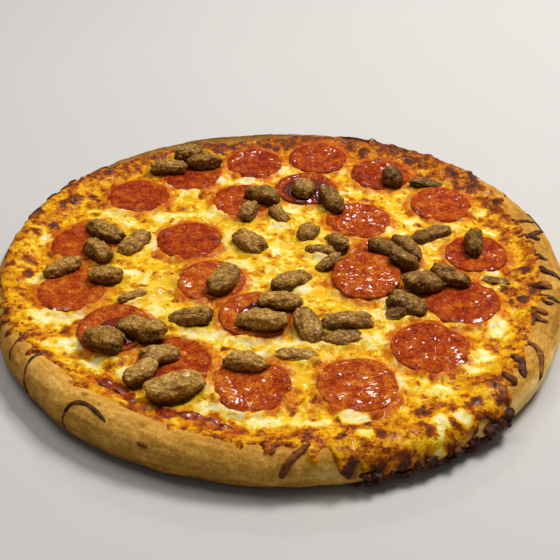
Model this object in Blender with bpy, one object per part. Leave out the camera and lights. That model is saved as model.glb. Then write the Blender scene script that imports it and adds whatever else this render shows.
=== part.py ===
"""A whole pan pizza, uncut: a thick round crust with a puffed rim and burnt strands of cheese on it, a layer of
browned cheese, a streak of sauce, slices of pepperoni and pieces of sausage.

It lies flat. The origin is the centre of its underside, +Z is up, and -Y is the side that faces the viewer.
Azimuths are degrees anticlockwise from +X. Round the rim's section, the angle called turn is 180 where the
crust starts to rise from its flat middle, 90 on top of the rim, 0 at its outermost line and -90 at its foot.
"""

import math

import bmesh
import bpy
from mathutils import Matrix, Vector, geometry, noise
from mathutils.bvhtree import BVHTree

MM = 0.001

# Crust
CRUST_RADIUS = 152.5 * MM
MIDDLE_HEIGHT = 11.0 * MM
RIM_HEIGHT = 19.5 * MM
RIM_HALF_WIDTH = 9.5 * MM
FLAT_RADIUS = 120.0 * MM
FOOT_INSET = 3.0 * MM
SEGMENTS = 88
COVERED_STEPS = 3
BARE_STEPS = 6
LAST_TURN = -80.0
RIM_LUMP = 0.9 * MM
RIM_LUMP_SIZE = 20.0 * MM

# The crust's outline and height change round the rim: (azimuth, radius added, height added), in millimetres
RIM_SHAPE = (
    (0, 0.5, 0.3), (20, 1.5, 0.0), (38, 1.4, -0.6), (62, -1.0, -1.0), (90, -2.4, -1.4), (115, -1.6, -0.8),
    (135, -0.2, -0.2), (160, 0.4, 0.2), (185, -0.8, 0.0), (210, 0.0, 0.4), (232, 0.8, 0.8), (255, 0.4, 0.8),
    (275, 0.2, 0.2), (300, 0.8, -0.4), (318, 1.2, 0.4), (340, -0.2, 0.8),
)

# How far out the cheese runs: (azimuth, radius), in millimetres. It climbs the rim where the radius is large.
CHEESE_EDGE = (
    (0, 138), (20, 139), (32, 144), (50, 147), (68, 144), (80, 138), (95, 134), (112, 134), (128, 138),
    (142, 143), (160, 147), (178, 148), (195, 146), (208, 142), (220, 137), (235, 135), (250, 136), (262, 140),
    (275, 144), (287, 149), (300, 151), (312, 149), (320, 142), (330, 138), (345, 137),
)
EDGE_RAGGEDNESS = 1.6 * MM
EDGE_RAG_SIZE = 9.0 * MM

# Cheese
GAP = 0.35 * MM
CHEESE_LEVEL = 16.2 * MM
CHEESE_LIP = 0.9 * MM
BUMP_HEIGHT = 1.5 * MM
BUMP_SIZE = 17.0 * MM
LATTICE = 7.6 * MM
LATTICE_INSET = 4.5 * MM
POCKET_DEPTH = 0.3 * MM
POCKET_REACH = 4.5 * MM
POCKET_FADE = 6.0 * MM

# Pepperoni: (x, y, diameter, cup, lift, lift_azimuth). Cup is how far the edge stands above the middle, and lift
# is the tilt in degrees that raises the side at lift_azimuth. Lengths are in millimetres.
PEPPERONI_THICKNESS = 1.8 * MM
PEPPERONI_SIDES = 14
PEPPERONI_RING = 0.72
PEPPERONI = (
    (-84, 66, 37.5, 0.8, 0, 0), (-108, 17, 37.0, 1.0, 0, 0), (-50, 19, 38.0, 0.8, 0, 0),
    (-16, 105, 37.0, 0.8, 0, 0), (24, 111, 38.0, 0.8, 0, 0), (-53, 91, 37.0, 0.8, 0, 0),
    (-22, 61, 37.5, 1.0, 0, 0), (16, 73, 37.0, 2.2, 0, 0), (45, 40, 38.0, 1.0, 0, 0),
    (61, 91, 37.0, 1.2, 0, 0), (94, 56, 37.0, 1.4, 0, 0), (107, 5, 35.0, 1.6, 0, 0),
    (93, -37, 39.0, 1.0, 0, 0), (72, -74, 39.0, 1.2, 0, 0), (36, -100, 38.5, 1.2, 0, 0),
    (-13, -100, 38.5, 0.8, 0, 0), (-50, -85, 38.0, 1.0, 0, 0), (-81, -60, 37.5, 2.2, 0, 0),
    (-108, -27, 37.5, 1.0, 0, 0), (-36, -19, 36.5, 1.4, 0, 0), (-12, -49, 37.5, 1.8, 0, 0),
    (57, 3, 37.0, 1.2, 0, 0), (45, -18, 38.0, 0.8, 4.8, 60),
)

# Sausage: each entry is one node, of one piece or of pieces baked together.
# A piece is (x, y, length, width, height, azimuth of its length), in millimetres and degrees.
SAUSAGE = (
    ((-68, 95, 26, 13, 8, -3), (-47, 101, 25, 13, 9, 2), (-57, 112, 22, 13, 9, 35)),
    ((-97, 23, 30, 14, 8, -36), (-80, 14, 26, 14, 8, 60)),
    ((-98, 4, 24, 13, 8, -48),),
    ((-115, -11, 25, 12, 7, 35),),
    ((-91, -19, 21, 12, 8, 0),),
    ((-75, -33, 21, 8, 4, 38),),
    ((-44, -53, 27, 13, 8, -5),),
    ((-84, -72, 24, 16, 9, -30), (-67, -65, 30, 15, 9, -22)),
    ((-59, -86, 24, 14, 8, 28), (-61, -96, 23, 16, 8, 45), (-47, -105, 35, 18, 9, 22)),
    ((-16, -90, 25, 13, 8, -8),),
    ((9, -82, 25, 10, 5, -3),),
    ((-29, -24, 27, 16, 9, 65),),
    ((6, -22, 30, 14, 8, 40),),
    ((0, -42, 27, 13, 8, -8),),
    ((-9, -58, 29, 14, 9, -8),),
    ((14, -61, 26, 15, 8, -72), (33, -56, 30, 14, 8, 5), (29, -67, 28, 12, 5, 8)),
    ((26, -6, 18, 9, 5, 30),),
    ((23, 8, 22, 10, 6, -10), (32, 14, 25, 11, 7, -70)),
    ((16, 25, 19, 14, 7, 70),),
    ((-17, 15, 27, 16, 8, -50),),
    ((-10, 61, 27, 14, 9, -30),),
    ((-18, 45, 19, 11, 7, 78),),
    ((0, 42, 20, 10, 6, -55),),
    ((14, 68, 22, 15, 9, 80),),
    ((30, 56, 26, 13, 8, -68),),
    ((68, 81, 19, 14, 10, 90),),
    ((88, 79, 24, 10, 5, 3),),
    ((87, 24, 26, 11, 7, 25), (78, 19, 14, 11, 6, 40)),
    ((58, 4, 28, 12, 8, -42), (69, 5, 27, 13, 9, -65), (66, -8, 19, 12, 8, 0)),
    ((86, -14, 20, 11, 7, -60), (90, -22, 21, 11, 7, -15), (74, -26, 26, 16, 8, 10)),
    ((64, -42, 24, 15, 8, -20), (57, -48, 14, 11, 6, 20)),
    ((106, 11, 24, 12, 9, 82),),
    ((112, -19, 19, 8, 4, -8),),
)
SAUSAGE_SINK = 0.6
SAUSAGE_LEAST = 3.0 * MM
SAUSAGE_EDGE = 0.68
SAUSAGE_BLUNTNESS = 0.84
SAUSAGE_LUMP = 0.10

# The streak of sauce that shows through the cheese near the front: (x, y, width), in millimetres
SAUCE = (
    (-85, -95, 2.0), (-78, -99, 5.0), (-71, -104, 4.0), (-64, -115, 5.0), (-52, -119, 5.5), (-41, -120, 6.5),
    (-31, -124, 5.0), (-21, -130, 2.5),
)
SAUCE_THICKNESS = 1.0 * MM
SAUCE_REACH = 9.0 * MM

# Burnt strands of cheese on the rim: (azimuths, turns, half thickness in millimetres), each of three points
STRANDS = (
    ((231.0, 228.5, 238.0), (-18, 130, 42), 1.5),
    ((215.0, 216.5, 219.5), (135, 60, -8), 1.3),
    ((207.0, 209.0, 212.0), (120, 80, 25), 1.3),
    ((271.0, 272.5, 275.0), (-8, 40, 98), 1.7),
    ((281.5, 281.0, 282.5), (70, 40, 0), 1.8),
    ((328.0, 324.0, 320.5), (110, 72, 20), 1.2),
    ((316.5, 315.5, 316.0), (135, 112, 90), 1.6),
    ((318.5, 321.0, 321.0), (120, 105, 92), 1.6),
    ((308.5, 309.0, 310.0), (58, 40, 6), 1.9),
    ((351.5, 349.5, 347.5), (105, 78, 42), 1.5),
    ((346.0, 344.5, 343.0), (122, 96, 70), 1.4),
    ((13.5, 13.8, 13.0), (128, 100, 70), 1.2),
    ((7.5, 9.0, 10.5), (118, 92, 58), 1.3),
    ((6.5, 5.0, 4.5), (100, 90, 76), 1.2),
    ((39.5, 42.0, 45.5), (62, 58, 66), 1.1),
    ((64.0, 69.0, 75.0), (74, 64, 72), 0.9),
    ((137.0, 138.0, 141.5), (78, 64, 60), 1.2),
    ((153.0, 154.5, 156.0), (84, 58, 40), 1.5),
    ((158.5, 160.5, 163.0), (76, 52, 40), 1.6),
    ((186.0, 189.0, 192.0), (60, 45, 50), 1.2),
    ((199.0, 200.0, 202.5), (70, 50, 30), 1.3),
    ((246.0, 246.5, 247.5), (48, 44, 42), 1.3),
    ((25.0, 26.0, 28.0), (80, 60, 48), 1.0),
    ((110.0, 112.0, 114.0), (100, 84, 78), 1.0),
)
STRAND_STEPS = 4
STRAND_SIDES = 5
STRAND_SINK = 0.35
STRAND_TAPER = 0.45
STRAND_CLEAR = 15.0

# Edges that turn by more than this many degrees are shaded sharp
SHARP_ANGLE = 40.0

# Colours (linear red, green, blue) and roughness of each kind of piece
CRUST_LOOK = ((0.72, 0.44, 0.18), 0.75)
CHEESE_LOOK = ((0.87, 0.52, 0.08), 0.35)
SAUCE_LOOK = ((0.36, 0.05, 0.01), 0.30)
PEPPERONI_LOOK = ((0.52, 0.09, 0.02), 0.35)
SAUSAGE_LOOK = ((0.26, 0.16, 0.06), 0.60)


def clear_scene():
    for obj in list(bpy.data.objects):
        bpy.data.objects.remove(obj)


def smoothstep(low, high, value):
    share = min(max((value - low) / (high - low), 0.0), 1.0)
    return share * share * (3.0 - 2.0 * share)


def round_table(azimuth, rows, column):
    """A table's column, read smoothly between its azimuths and closing on itself."""
    azimuth %= 360.0
    for index, row in enumerate(rows):
        after = rows[(index + 1) % len(rows)]
        span = (after[0] - row[0]) % 360.0
        along = (azimuth - row[0]) % 360.0
        if along < span:
            return row[column] + (after[column] - row[column]) * smoothstep(0.0, span, along)
    return rows[0][column]


def ripple(x, y, size, seed):
    return noise.noise(Vector((x / size, y / size, seed)))


def polar(radius, azimuth):
    angle = math.radians(azimuth)
    return radius * math.cos(angle), radius * math.sin(angle)


def cheese_radius(azimuth):
    x, y = polar(CRUST_RADIUS, azimuth)
    return round_table(azimuth, CHEESE_EDGE, 1) * MM + EDGE_RAGGEDNESS * ripple(x, y, EDGE_RAG_SIZE, 3.0)


def rim_centre(azimuth):
    """Radius of the line that runs along the top of the rim."""
    return CRUST_RADIUS + round_table(azimuth, RIM_SHAPE, 1) * MM - RIM_HALF_WIDTH


def crust_point(azimuth, turn, outwards=0.0):
    """A point of the crust's surface, as a vector, moved off the surface by outwards."""
    top = RIM_HEIGHT + round_table(azimuth, RIM_SHAPE, 2) * MM
    centre = rim_centre(azimuth)
    x, y = polar(centre, azimuth)
    lump = RIM_LUMP * ripple(x + turn * 0.15 * MM, y - turn * 0.15 * MM, RIM_LUMP_SIZE, 7.0)
    lump *= smoothstep(180.0, 130.0, turn) * smoothstep(-80.0, -30.0, turn)
    if turn > 90.0:
        radius = centre - (centre - FLAT_RADIUS) * (turn - 90.0) / 90.0
        height = MIDDLE_HEIGHT + (top + lump - MIDDLE_HEIGHT) * smoothstep(180.0, 90.0, turn) + outwards
    else:
        bend = math.radians(turn)
        radius = centre + (RIM_HALF_WIDTH + lump + outwards) * math.cos(bend)
        height = top / 2.0 + (top / 2.0 + lump + outwards) * math.sin(bend)
    return Vector((*polar(radius, azimuth), height))


def edge_turn(azimuth):
    """The turn at which the cheese ends."""
    beyond = cheese_radius(azimuth) - rim_centre(azimuth)
    if beyond < 0.0:
        return 90.0 - 90.0 * beyond / (rim_centre(azimuth) - FLAT_RADIUS)
    return math.degrees(math.acos(beyond / RIM_HALF_WIDTH))


def covered_turns(azimuth):
    end = edge_turn(azimuth)
    return [180.0 + (end - 180.0) * step / COVERED_STEPS for step in range(COVERED_STEPS + 1)]


def azimuths():
    return [360.0 * index / SEGMENTS for index in range(SEGMENTS)]


def cheese_height(x, y):
    """Height of the cheese's top, with bumps between the pepperoni slices and a shallow pocket under each."""
    pressed = 0.0
    for slice_x, slice_y, diameter, *_ in PEPPERONI:
        clear = math.hypot(x - slice_x * MM, y - slice_y * MM) - diameter * MM / 2.0 - POCKET_REACH
        pressed = max(pressed, 1.0 - smoothstep(0.0, POCKET_FADE, clear))
    bump = BUMP_HEIGHT * (0.35 + ripple(x, y, BUMP_SIZE, 1.0))
    return CHEESE_LEVEL + (1.0 - pressed) * bump - pressed * POCKET_DEPTH


def height_at(tree, place):
    """Height of the topmost surface at a place, or 0 where there is none."""
    hit = tree.ray_cast(Vector((*place, 1.0)), Vector((0.0, 0.0, -1.0)))[0]
    return hit.z if hit else 0.0


def bridge(bm, first, second):
    """Faces between two rings of as many vertices."""
    count = len(first)
    for index in range(count):
        after = (index + 1) % count
        bm.faces.new((first[index], first[after], second[after], second[index]))


def fan(bm, ring, centre):
    for index, corner in enumerate(ring):
        bm.faces.new((corner, ring[(index + 1) % len(ring)], centre))


def material(name, look):
    colour, roughness = look
    made = bpy.data.materials.new(name)
    made.use_nodes = True
    shader = made.node_tree.nodes["Principled BSDF"]
    shader.inputs["Base Color"].default_value = (*colour, 1.0)
    shader.inputs["Roughness"].default_value = roughness
    shader.inputs["Metallic"].default_value = 0.0
    made.diffuse_color = (*colour, 1.0)
    return made


def to_object(bm, name, finish):
    """Closes a bmesh as a smooth object with its faces pointing out."""
    bmesh.ops.recalc_face_normals(bm, faces=bm.faces[:])
    bmesh.ops.triangulate(bm, faces=bm.faces[:])
    mesh = bpy.data.meshes.new(name)
    bm.to_mesh(mesh)
    bm.free()
    mesh.shade_smooth()
    mesh.materials.append(finish)
    obj = bpy.data.objects.new(name, mesh)
    bpy.context.scene.collection.objects.link(obj)
    return obj


def tree_of(obj):
    mesh = obj.data
    points = [vertex.co.copy() for vertex in mesh.vertices]
    return BVHTree.FromPolygons(points, [tuple(face.vertices) for face in mesh.polygons])


def union(name, objects, solver):
    """Joins overlapping objects into one, by one Boolean on a collection, and removes the rest."""
    base = objects[0]
    base.name = name
    if len(objects) > 1:
        group = bpy.data.collections.new(name + "_pieces")
        bpy.context.scene.collection.children.link(group)
        for obj in objects[1:]:
            bpy.context.scene.collection.objects.unlink(obj)
            group.objects.link(obj)
        modifier = base.modifiers.new("join", "BOOLEAN")
        modifier.operation = "UNION"
        modifier.operand_type = "COLLECTION"
        modifier.collection = group
        modifier.solver = solver
        graph = bpy.context.evaluated_depsgraph_get()
        joined = bpy.data.meshes.new_from_object(base.evaluated_get(graph))
        base.modifiers.clear()
        base.data = joined
        for obj in objects[1:]:
            bpy.data.objects.remove(obj)
        bpy.data.collections.remove(group)
    base.data.name = name
    base.data.set_sharp_from_angle(angle=math.radians(SHARP_ANGLE))
    return base


def add_crust(finish):
    """The dough: flat in the middle, with the rim's section swept round it and strands of cheese baked on."""
    bm = bmesh.new()
    rings = [[] for _ in range(COVERED_STEPS + BARE_STEPS + 1)]
    foot = []
    for azimuth in azimuths():
        end = edge_turn(azimuth)
        bare = [end + (LAST_TURN - end) * step / BARE_STEPS for step in range(1, BARE_STEPS + 1)]
        for ring, turn in zip(rings, covered_turns(azimuth) + bare):
            ring.append(bm.verts.new(crust_point(azimuth, turn)))
        foot.append(bm.verts.new((*polar(rim_centre(azimuth) - FOOT_INSET, azimuth), 0.0)))
    rings.append(foot)
    for first, second in zip(rings, rings[1:]):
        bridge(bm, first, second)
    fan(bm, rings[0], bm.verts.new((0.0, 0.0, MIDDLE_HEIGHT)))
    fan(bm, foot, bm.verts.new((0.0, 0.0, 0.0)))
    dough = to_object(bm, "crust", finish)
    return union("crust", [dough, *add_strands(finish)], "MANIFOLD")


def add_strands(finish, cheese=None):
    """The strands that lie on the bare rim, or, where a tree of the cheese is given, those that lie on it."""
    made = []
    for index, strand in enumerate(STRANDS):
        on_cheese = strand[1][1] > edge_turn(strand[0][1])
        if on_cheese == (cheese is not None):
            made.append(add_strand(f"strand_{index}", strand, finish, cheese))
    return made


def add_strand(name, strand, finish, cheese):
    """A strand that lies along the rim, partly sunk in what carries it, and thinner towards its ends."""
    (start, middle, end), (start_turn, middle_turn, end_turn), half = strand
    path = []
    for step in range(STRAND_STEPS):
        t = step / (STRAND_STEPS - 1)
        weights = ((1 - t) ** 2, 2 * t * (1 - t), t * t)
        azimuth = sum(w * a for w, a in zip(weights, (start, middle, end)))
        turn = sum(w * a for w, a in zip(weights, (start_turn, middle_turn, end_turn)))
        thick = half * MM * (1.0 - STRAND_TAPER * abs(2.0 * t - 1.0) ** 2)
        sunk = thick * STRAND_SINK
        if cheese:
            place = crust_point(azimuth, max(turn, edge_turn(azimuth) + STRAND_CLEAR))
            place.z = height_at(cheese, place.to_2d()) + sunk
        else:
            place = crust_point(azimuth, min(turn, edge_turn(azimuth) - STRAND_CLEAR), sunk)
        path.append((place, thick))
    bm = bmesh.new()
    rings = []
    for step, (place, thick) in enumerate(path):
        along = path[min(step + 1, STRAND_STEPS - 1)][0] - path[max(step - 1, 0)][0]
        facing = along.to_track_quat("Z", "Y").to_matrix().to_4x4()
        made = bmesh.ops.create_circle(
            bm, segments=STRAND_SIDES, radius=thick, matrix=Matrix.Translation(place) @ facing
        )
        rings.append(made["verts"])
    for first, second in zip(rings, rings[1:]):
        bridge(bm, first, second)
    fan(bm, rings[0], bm.verts.new(path[0][0]))
    fan(bm, rings[-1], bm.verts.new(path[-1][0]))
    return to_object(bm, name, finish)


def add_cheese(finish):
    """The cheese: its underside follows the crust and its top is a lattice that meets rings round the edge."""
    bm = bmesh.new()
    upper = [[] for _ in range(COVERED_STEPS + 1)]
    lower = [[] for _ in range(COVERED_STEPS + 1)]
    for azimuth in azimuths():
        for above, below, turn in zip(upper, lower, covered_turns(azimuth)):
            place = crust_point(azimuth, turn, GAP)
            top = max(cheese_height(place.x, place.y), place.z + CHEESE_LIP)
            below.append(bm.verts.new(place))
            above.append(bm.verts.new((place.x, place.y, top)))
    for rings in (upper, lower):
        for first, second in zip(rings, rings[1:]):
            bridge(bm, first, second)
    bridge(bm, upper[-1], lower[-1])
    fan(bm, lower[0], bm.verts.new((0.0, 0.0, MIDDLE_HEIGHT + GAP)))
    fill_lattice(bm, upper[0])
    layer = to_object(bm, "cheese", finish)
    return union("cheese", [layer, *add_strands(finish, tree_of(layer))], "MANIFOLD")


def fill_lattice(bm, border):
    """Fills the ring of vertices called border with an even triangular lattice at the cheese's height."""
    flat = [vertex.co.to_2d() for vertex in border]
    inner = FLAT_RADIUS - LATTICE_INSET
    row_step = LATTICE * math.sqrt(3.0) / 2.0
    rows = int(inner / row_step) + 1
    columns = int(inner / LATTICE) + 2
    for row in range(-rows, rows + 1):
        for column in range(-columns, columns + 1):
            place = Vector(((column + 0.5 * (row % 2)) * LATTICE, row * row_step))
            if place.length < inner:
                flat.append(place)
    edges = [(index, (index + 1) % len(border)) for index in range(len(border))]
    points, _, faces, *_ = geometry.delaunay_2d_cdt(flat, edges, [], 1, 1e-7)
    inside = [bm.verts.new((x, y, cheese_height(x, y))) for x, y in points[len(border):]]
    vertices = border + inside
    for face in faces:
        bm.faces.new([vertices[index] for index in face])


def add_sauce(finish, below):
    """A thin streak of sauce that lies on the cheese."""
    bm = bmesh.new()
    rings = []
    for index, (x, y, width) in enumerate(SAUCE):
        before = SAUCE[max(index - 1, 0)]
        after = SAUCE[min(index + 1, len(SAUCE) - 1)]
        along = Vector((after[0] - before[0], after[1] - before[1])).normalized()
        across = Vector((-along.y, along.x)) * width * MM / 2.0
        sides = [Vector((x, y)) * MM + across * share for share in (-1.0, 0.0, 1.0)]
        floors = [highest(below, side, (along * SAUCE_REACH, across / 2.0)) + GAP for side in sides]
        under = [bm.verts.new((*side, floor)) for side, floor in zip(sides, floors)]
        crown = bm.verts.new((*sides[1], max(floors) + SAUCE_THICKNESS))
        rings.append([under[0], under[1], under[2], crown])
    for first, second in zip(rings, rings[1:]):
        bridge(bm, first, second)
    bm.faces.new(rings[0])
    bm.faces.new(rings[-1])
    return to_object(bm, "sauce", finish)


def drop(obj, below):
    """Lowers an object onto what lies below it, until a gap is left."""
    step = GAP / 2.0
    while not tree_of(obj).overlap(below):
        obj.data.transform(Matrix.Translation((0.0, 0.0, -step)))
    obj.data.transform(Matrix.Translation((0.0, 0.0, step + GAP)))


def tree_of_all(objects):
    points = []
    faces = []
    for obj in objects:
        first = len(points)
        points += [vertex.co.copy() for vertex in obj.data.vertices]
        faces += [tuple(first + corner for corner in face.vertices) for face in obj.data.polygons]
    return BVHTree.FromPolygons(points, faces)


def add_pepperoni(index, row, finish, below):
    """A slice of pepperoni: a thin disc whose edge stands a little above its middle, laid on what is below."""
    x, y, diameter, cup, lift, lift_azimuth = row
    bm = bmesh.new()

    def ring(share, height):
        made = []
        for side in range(PEPPERONI_SIDES):
            angle = 2.0 * math.pi * side / PEPPERONI_SIDES
            wobble = 1.0 + 0.025 * math.sin(2.0 * angle + index) + 0.015 * math.sin(3.0 * angle + 2.0 * index)
            radius = diameter * MM / 2.0 * share * wobble
            made.append(bm.verts.new((radius * math.cos(angle), radius * math.sin(angle), height)))
        return made

    curl = cup * MM
    inner_top = ring(PEPPERONI_RING, PEPPERONI_THICKNESS + curl * PEPPERONI_RING**3)
    outer_top = ring(1.0, PEPPERONI_THICKNESS + curl)
    outer_low = ring(1.0, curl * 0.8)
    inner_low = ring(PEPPERONI_RING, 0.0)
    bridge(bm, inner_top, outer_top)
    bridge(bm, outer_top, outer_low)
    bridge(bm, outer_low, inner_low)
    fan(bm, inner_top, bm.verts.new((0.0, 0.0, PEPPERONI_THICKNESS)))
    bm.faces.new(inner_low)
    angle = math.radians(lift_azimuth)
    tilt = Matrix.Rotation(math.radians(lift), 4, Vector((math.sin(angle), -math.cos(angle), 0.0)))
    bmesh.ops.transform(bm, matrix=tilt, verts=bm.verts[:])
    bmesh.ops.translate(bm, vec=(x * MM, y * MM, CHEESE_LEVEL + 5.0 * MM), verts=bm.verts[:])
    obj = to_object(bm, f"pepperoni_{index:02d}", finish)
    drop(obj, below)
    return obj


def highest(below, place, reach):
    """Height of the highest point of what is below, near a place, out to the two lengths in reach."""
    tops = []
    for share in (0.0, 0.35, 0.7, 1.0):
        for step in range(12):
            angle = math.pi * step / 6.0
            near = place + (reach[0] * math.cos(angle) + reach[1] * math.sin(angle)) * share
            tops.append(height_at(below, near))
    return max(tops)


def add_sausage_piece(name, row, finish, below, gap):
    """A blunt lump of sausage whose underside follows what is below it, with a gap left between."""
    x, y, length, width, height, azimuth = row
    centre = Vector((x, y)) * MM
    along = Vector(polar(length * MM / 2.0, azimuth))
    across = Vector(polar(width * MM / 2.0, azimuth + 90.0))
    reach = (along * SAUSAGE_EDGE, across * SAUSAGE_EDGE)
    ends = [highest(below, centre + along * side, reach) for side in (-0.6, 0.6)]
    sides = [highest(below, centre + across * side, reach) for side in (-0.6, 0.6)]
    level = (sum(ends) + sum(sides)) / 4.0
    bm = bmesh.new()
    bmesh.ops.create_icosphere(bm, subdivisions=2, radius=1.0)
    for vertex in bm.verts:
        lump = 1.0 + SAUSAGE_LUMP * noise.noise(vertex.co * 1.7 + Vector((x, y, azimuth)))
        u, v, w = [math.copysign(abs(value) ** SAUSAGE_BLUNTNESS, value) * lump for value in vertex.co]
        place = centre + along * u + across * v
        floor = highest(below, place, reach) + gap
        base = level + gap + (ends[1] - ends[0]) * u / 1.2 + (sides[1] - sides[0]) * v / 1.2
        rise = max(w + SAUSAGE_SINK, 0.0) / (1.0 + SAUSAGE_SINK)
        body = max(base + rise * height * MM, floor + rise * SAUSAGE_LEAST)
        vertex.co = Vector((*place, body if rise > 0.0 else floor))
    return to_object(bm, name, finish)


def add_sausage(index, rows, finish, below):
    name = f"sausage_{index:02d}"
    pieces = [
        add_sausage_piece(f"{name}_piece_{place}", row, finish, below, GAP * (1.0 + 0.3 * place))
        for place, row in enumerate(rows)
    ]
    return union(name, pieces, "MANIFOLD")


def main():
    clear_scene()
    crust = add_crust(material("baked_crust", CRUST_LOOK))
    cheese = add_cheese(material("browned_cheese", CHEESE_LOOK))
    laid = [cheese, add_sauce(material("sauce", SAUCE_LOOK), tree_of(cheese)), crust]
    slice_finish = material("pepperoni", PEPPERONI_LOOK)
    for index, row in enumerate(PEPPERONI, start=1):
        laid.append(add_pepperoni(index, row, slice_finish, tree_of_all(laid)))
    sausage_finish = material("sausage", SAUSAGE_LOOK)
    below = tree_of_all(laid)
    for index, rows in enumerate(SAUSAGE, start=1):
        add_sausage(index, rows, sausage_finish, below)


main()
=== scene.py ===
"""The looks of a whole pan pizza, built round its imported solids: dough, melted cheese, pepperoni, sausage, sauce,
oil and burnt strands of cheese.

Lengths in the tables are in millimetres and angles in degrees. Azimuth is counted anticlockwise from +X. Round the
rim's section, turn is 180 where the crust starts to rise, 90 on top, 0 at the outermost line and -90 at the foot.
"""
import math

import bmesh
import bpy
import numpy as np
from mathutils import Matrix, Vector, noise
from mathutils.bvhtree import BVHTree


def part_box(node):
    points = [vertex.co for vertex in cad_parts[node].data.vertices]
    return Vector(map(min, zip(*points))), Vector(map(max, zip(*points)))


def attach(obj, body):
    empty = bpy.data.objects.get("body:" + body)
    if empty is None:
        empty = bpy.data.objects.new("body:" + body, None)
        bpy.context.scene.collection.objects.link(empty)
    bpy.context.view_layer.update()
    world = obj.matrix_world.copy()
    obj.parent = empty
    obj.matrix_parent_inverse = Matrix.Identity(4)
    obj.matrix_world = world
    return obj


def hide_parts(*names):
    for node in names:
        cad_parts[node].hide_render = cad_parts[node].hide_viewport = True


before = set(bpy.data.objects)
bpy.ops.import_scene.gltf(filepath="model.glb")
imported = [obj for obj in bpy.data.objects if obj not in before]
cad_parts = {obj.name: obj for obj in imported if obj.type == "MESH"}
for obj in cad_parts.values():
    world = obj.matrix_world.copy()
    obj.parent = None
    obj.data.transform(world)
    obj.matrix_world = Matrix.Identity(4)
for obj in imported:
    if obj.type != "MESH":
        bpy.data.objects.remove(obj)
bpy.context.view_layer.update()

MM = 0.001
UP = Vector((0.0, 0.0, 1.0))

# Camera
PHOTO_PIXELS = 560
FOCAL_PIXELS = 1007
CAMERA_DISTANCE = 0.5577
CAMERA_ELEVATION = 36.02
CAMERA_TARGET = Vector((0.0001, 0.0052, 0.0))

# The crust's section, as the solids have it
MIDDLE_HEIGHT = 11.0
FLAT_RADIUS = 120.0
RIM_HALF_WIDTH = 9.5
RIM_MIDDLE = 9.5
FOOT_INSET = 3.0
RIM_STEPS = 720
SLOPE_ARC = 25.0
RIM_ARC = 9.8

# The cheese's mesh: rings from the middle out to a turn below the lowest drip
CHEESE_RINGS = 150
CHEESE_LAST_TURN = -55.0
EDGE_WINDOW = 2.6

# How far the cheese's thin edge runs beyond its solid: (azimuth, length)
CHEESE_OVERRUN = ((0, 0.0), (45, 0.5), (70, 2.5), (120, 2.5), (150, 1.0), (200, 0.0), (270, 0.0), (330, 0.0))

# Drips of browned cheese over the rim: (azimuth, width, length, how dark the tip is)
DRIPS = (
    (280.5, 4.5, 11.0, 0.42), (284.0, 3.0, 8.0, 0.3), (275.5, 2.5, 6.0, 0.55), (287.0, 4.5, 11.0, 0.5), (296.0, 24.0, 11.0, 0.0),
    (291.0, 3.0, 3.5, 0.6), (300.5, 3.5, 4.0, 0.7), (309.5, 4.5, 9.0, 0.8), (268.0, 2.5, 4.0, 0.6),
    (263.0, 2.2, 3.0, 0.6), (250.0, 2.2, 3.0, 0.5), (228.0, 2.2, 3.0, 0.6), (313.2, 2.6, 5.0, 0.5),
    (317.0, 2.6, 3.5, 0.5), (321.4, 3.0, 3.5, 0.55), (328.5, 2.4, 2.0, 0.4), (337.0, 2.2, 2.0, 0.4),
    (340.5, 2.2, 2.0, 0.4), (344.6, 2.2, 2.5, 0.5), (349.4, 3.0, 4.0, 0.7), (355.5, 2.2, 2.5, 0.5),
    (0.0, 2.0, 2.0, 0.5), (8.8, 2.6, 3.0, 0.6), (14.4, 2.0, 2.0, 0.5), (24.0, 2.0, 4.0, 0.6),
    (214.0, 2.1, 5.0, 0.75), (210.0, 2.0, 4.0, 0.75), (206.0, 2.1, 6.0, 0.8), (201.5, 2.0, 4.0, 0.7),
    (196.5, 2.0, 3.0, 0.7), (163.0, 2.5, 4.0, 0.9), (155.0, 2.5, 4.0, 0.9), (148.0, 2.0, 4.0, 0.85),
    (140.0, 2.0, 3.0, 0.7), (65.0, 3.0, 4.0, 0.7), (50.0, 2.2, 4.0, 0.6), (38.0, 2.5, 4.0, 0.8),
    (110.0, 2.5, 2.0, 0.5),
)

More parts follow.
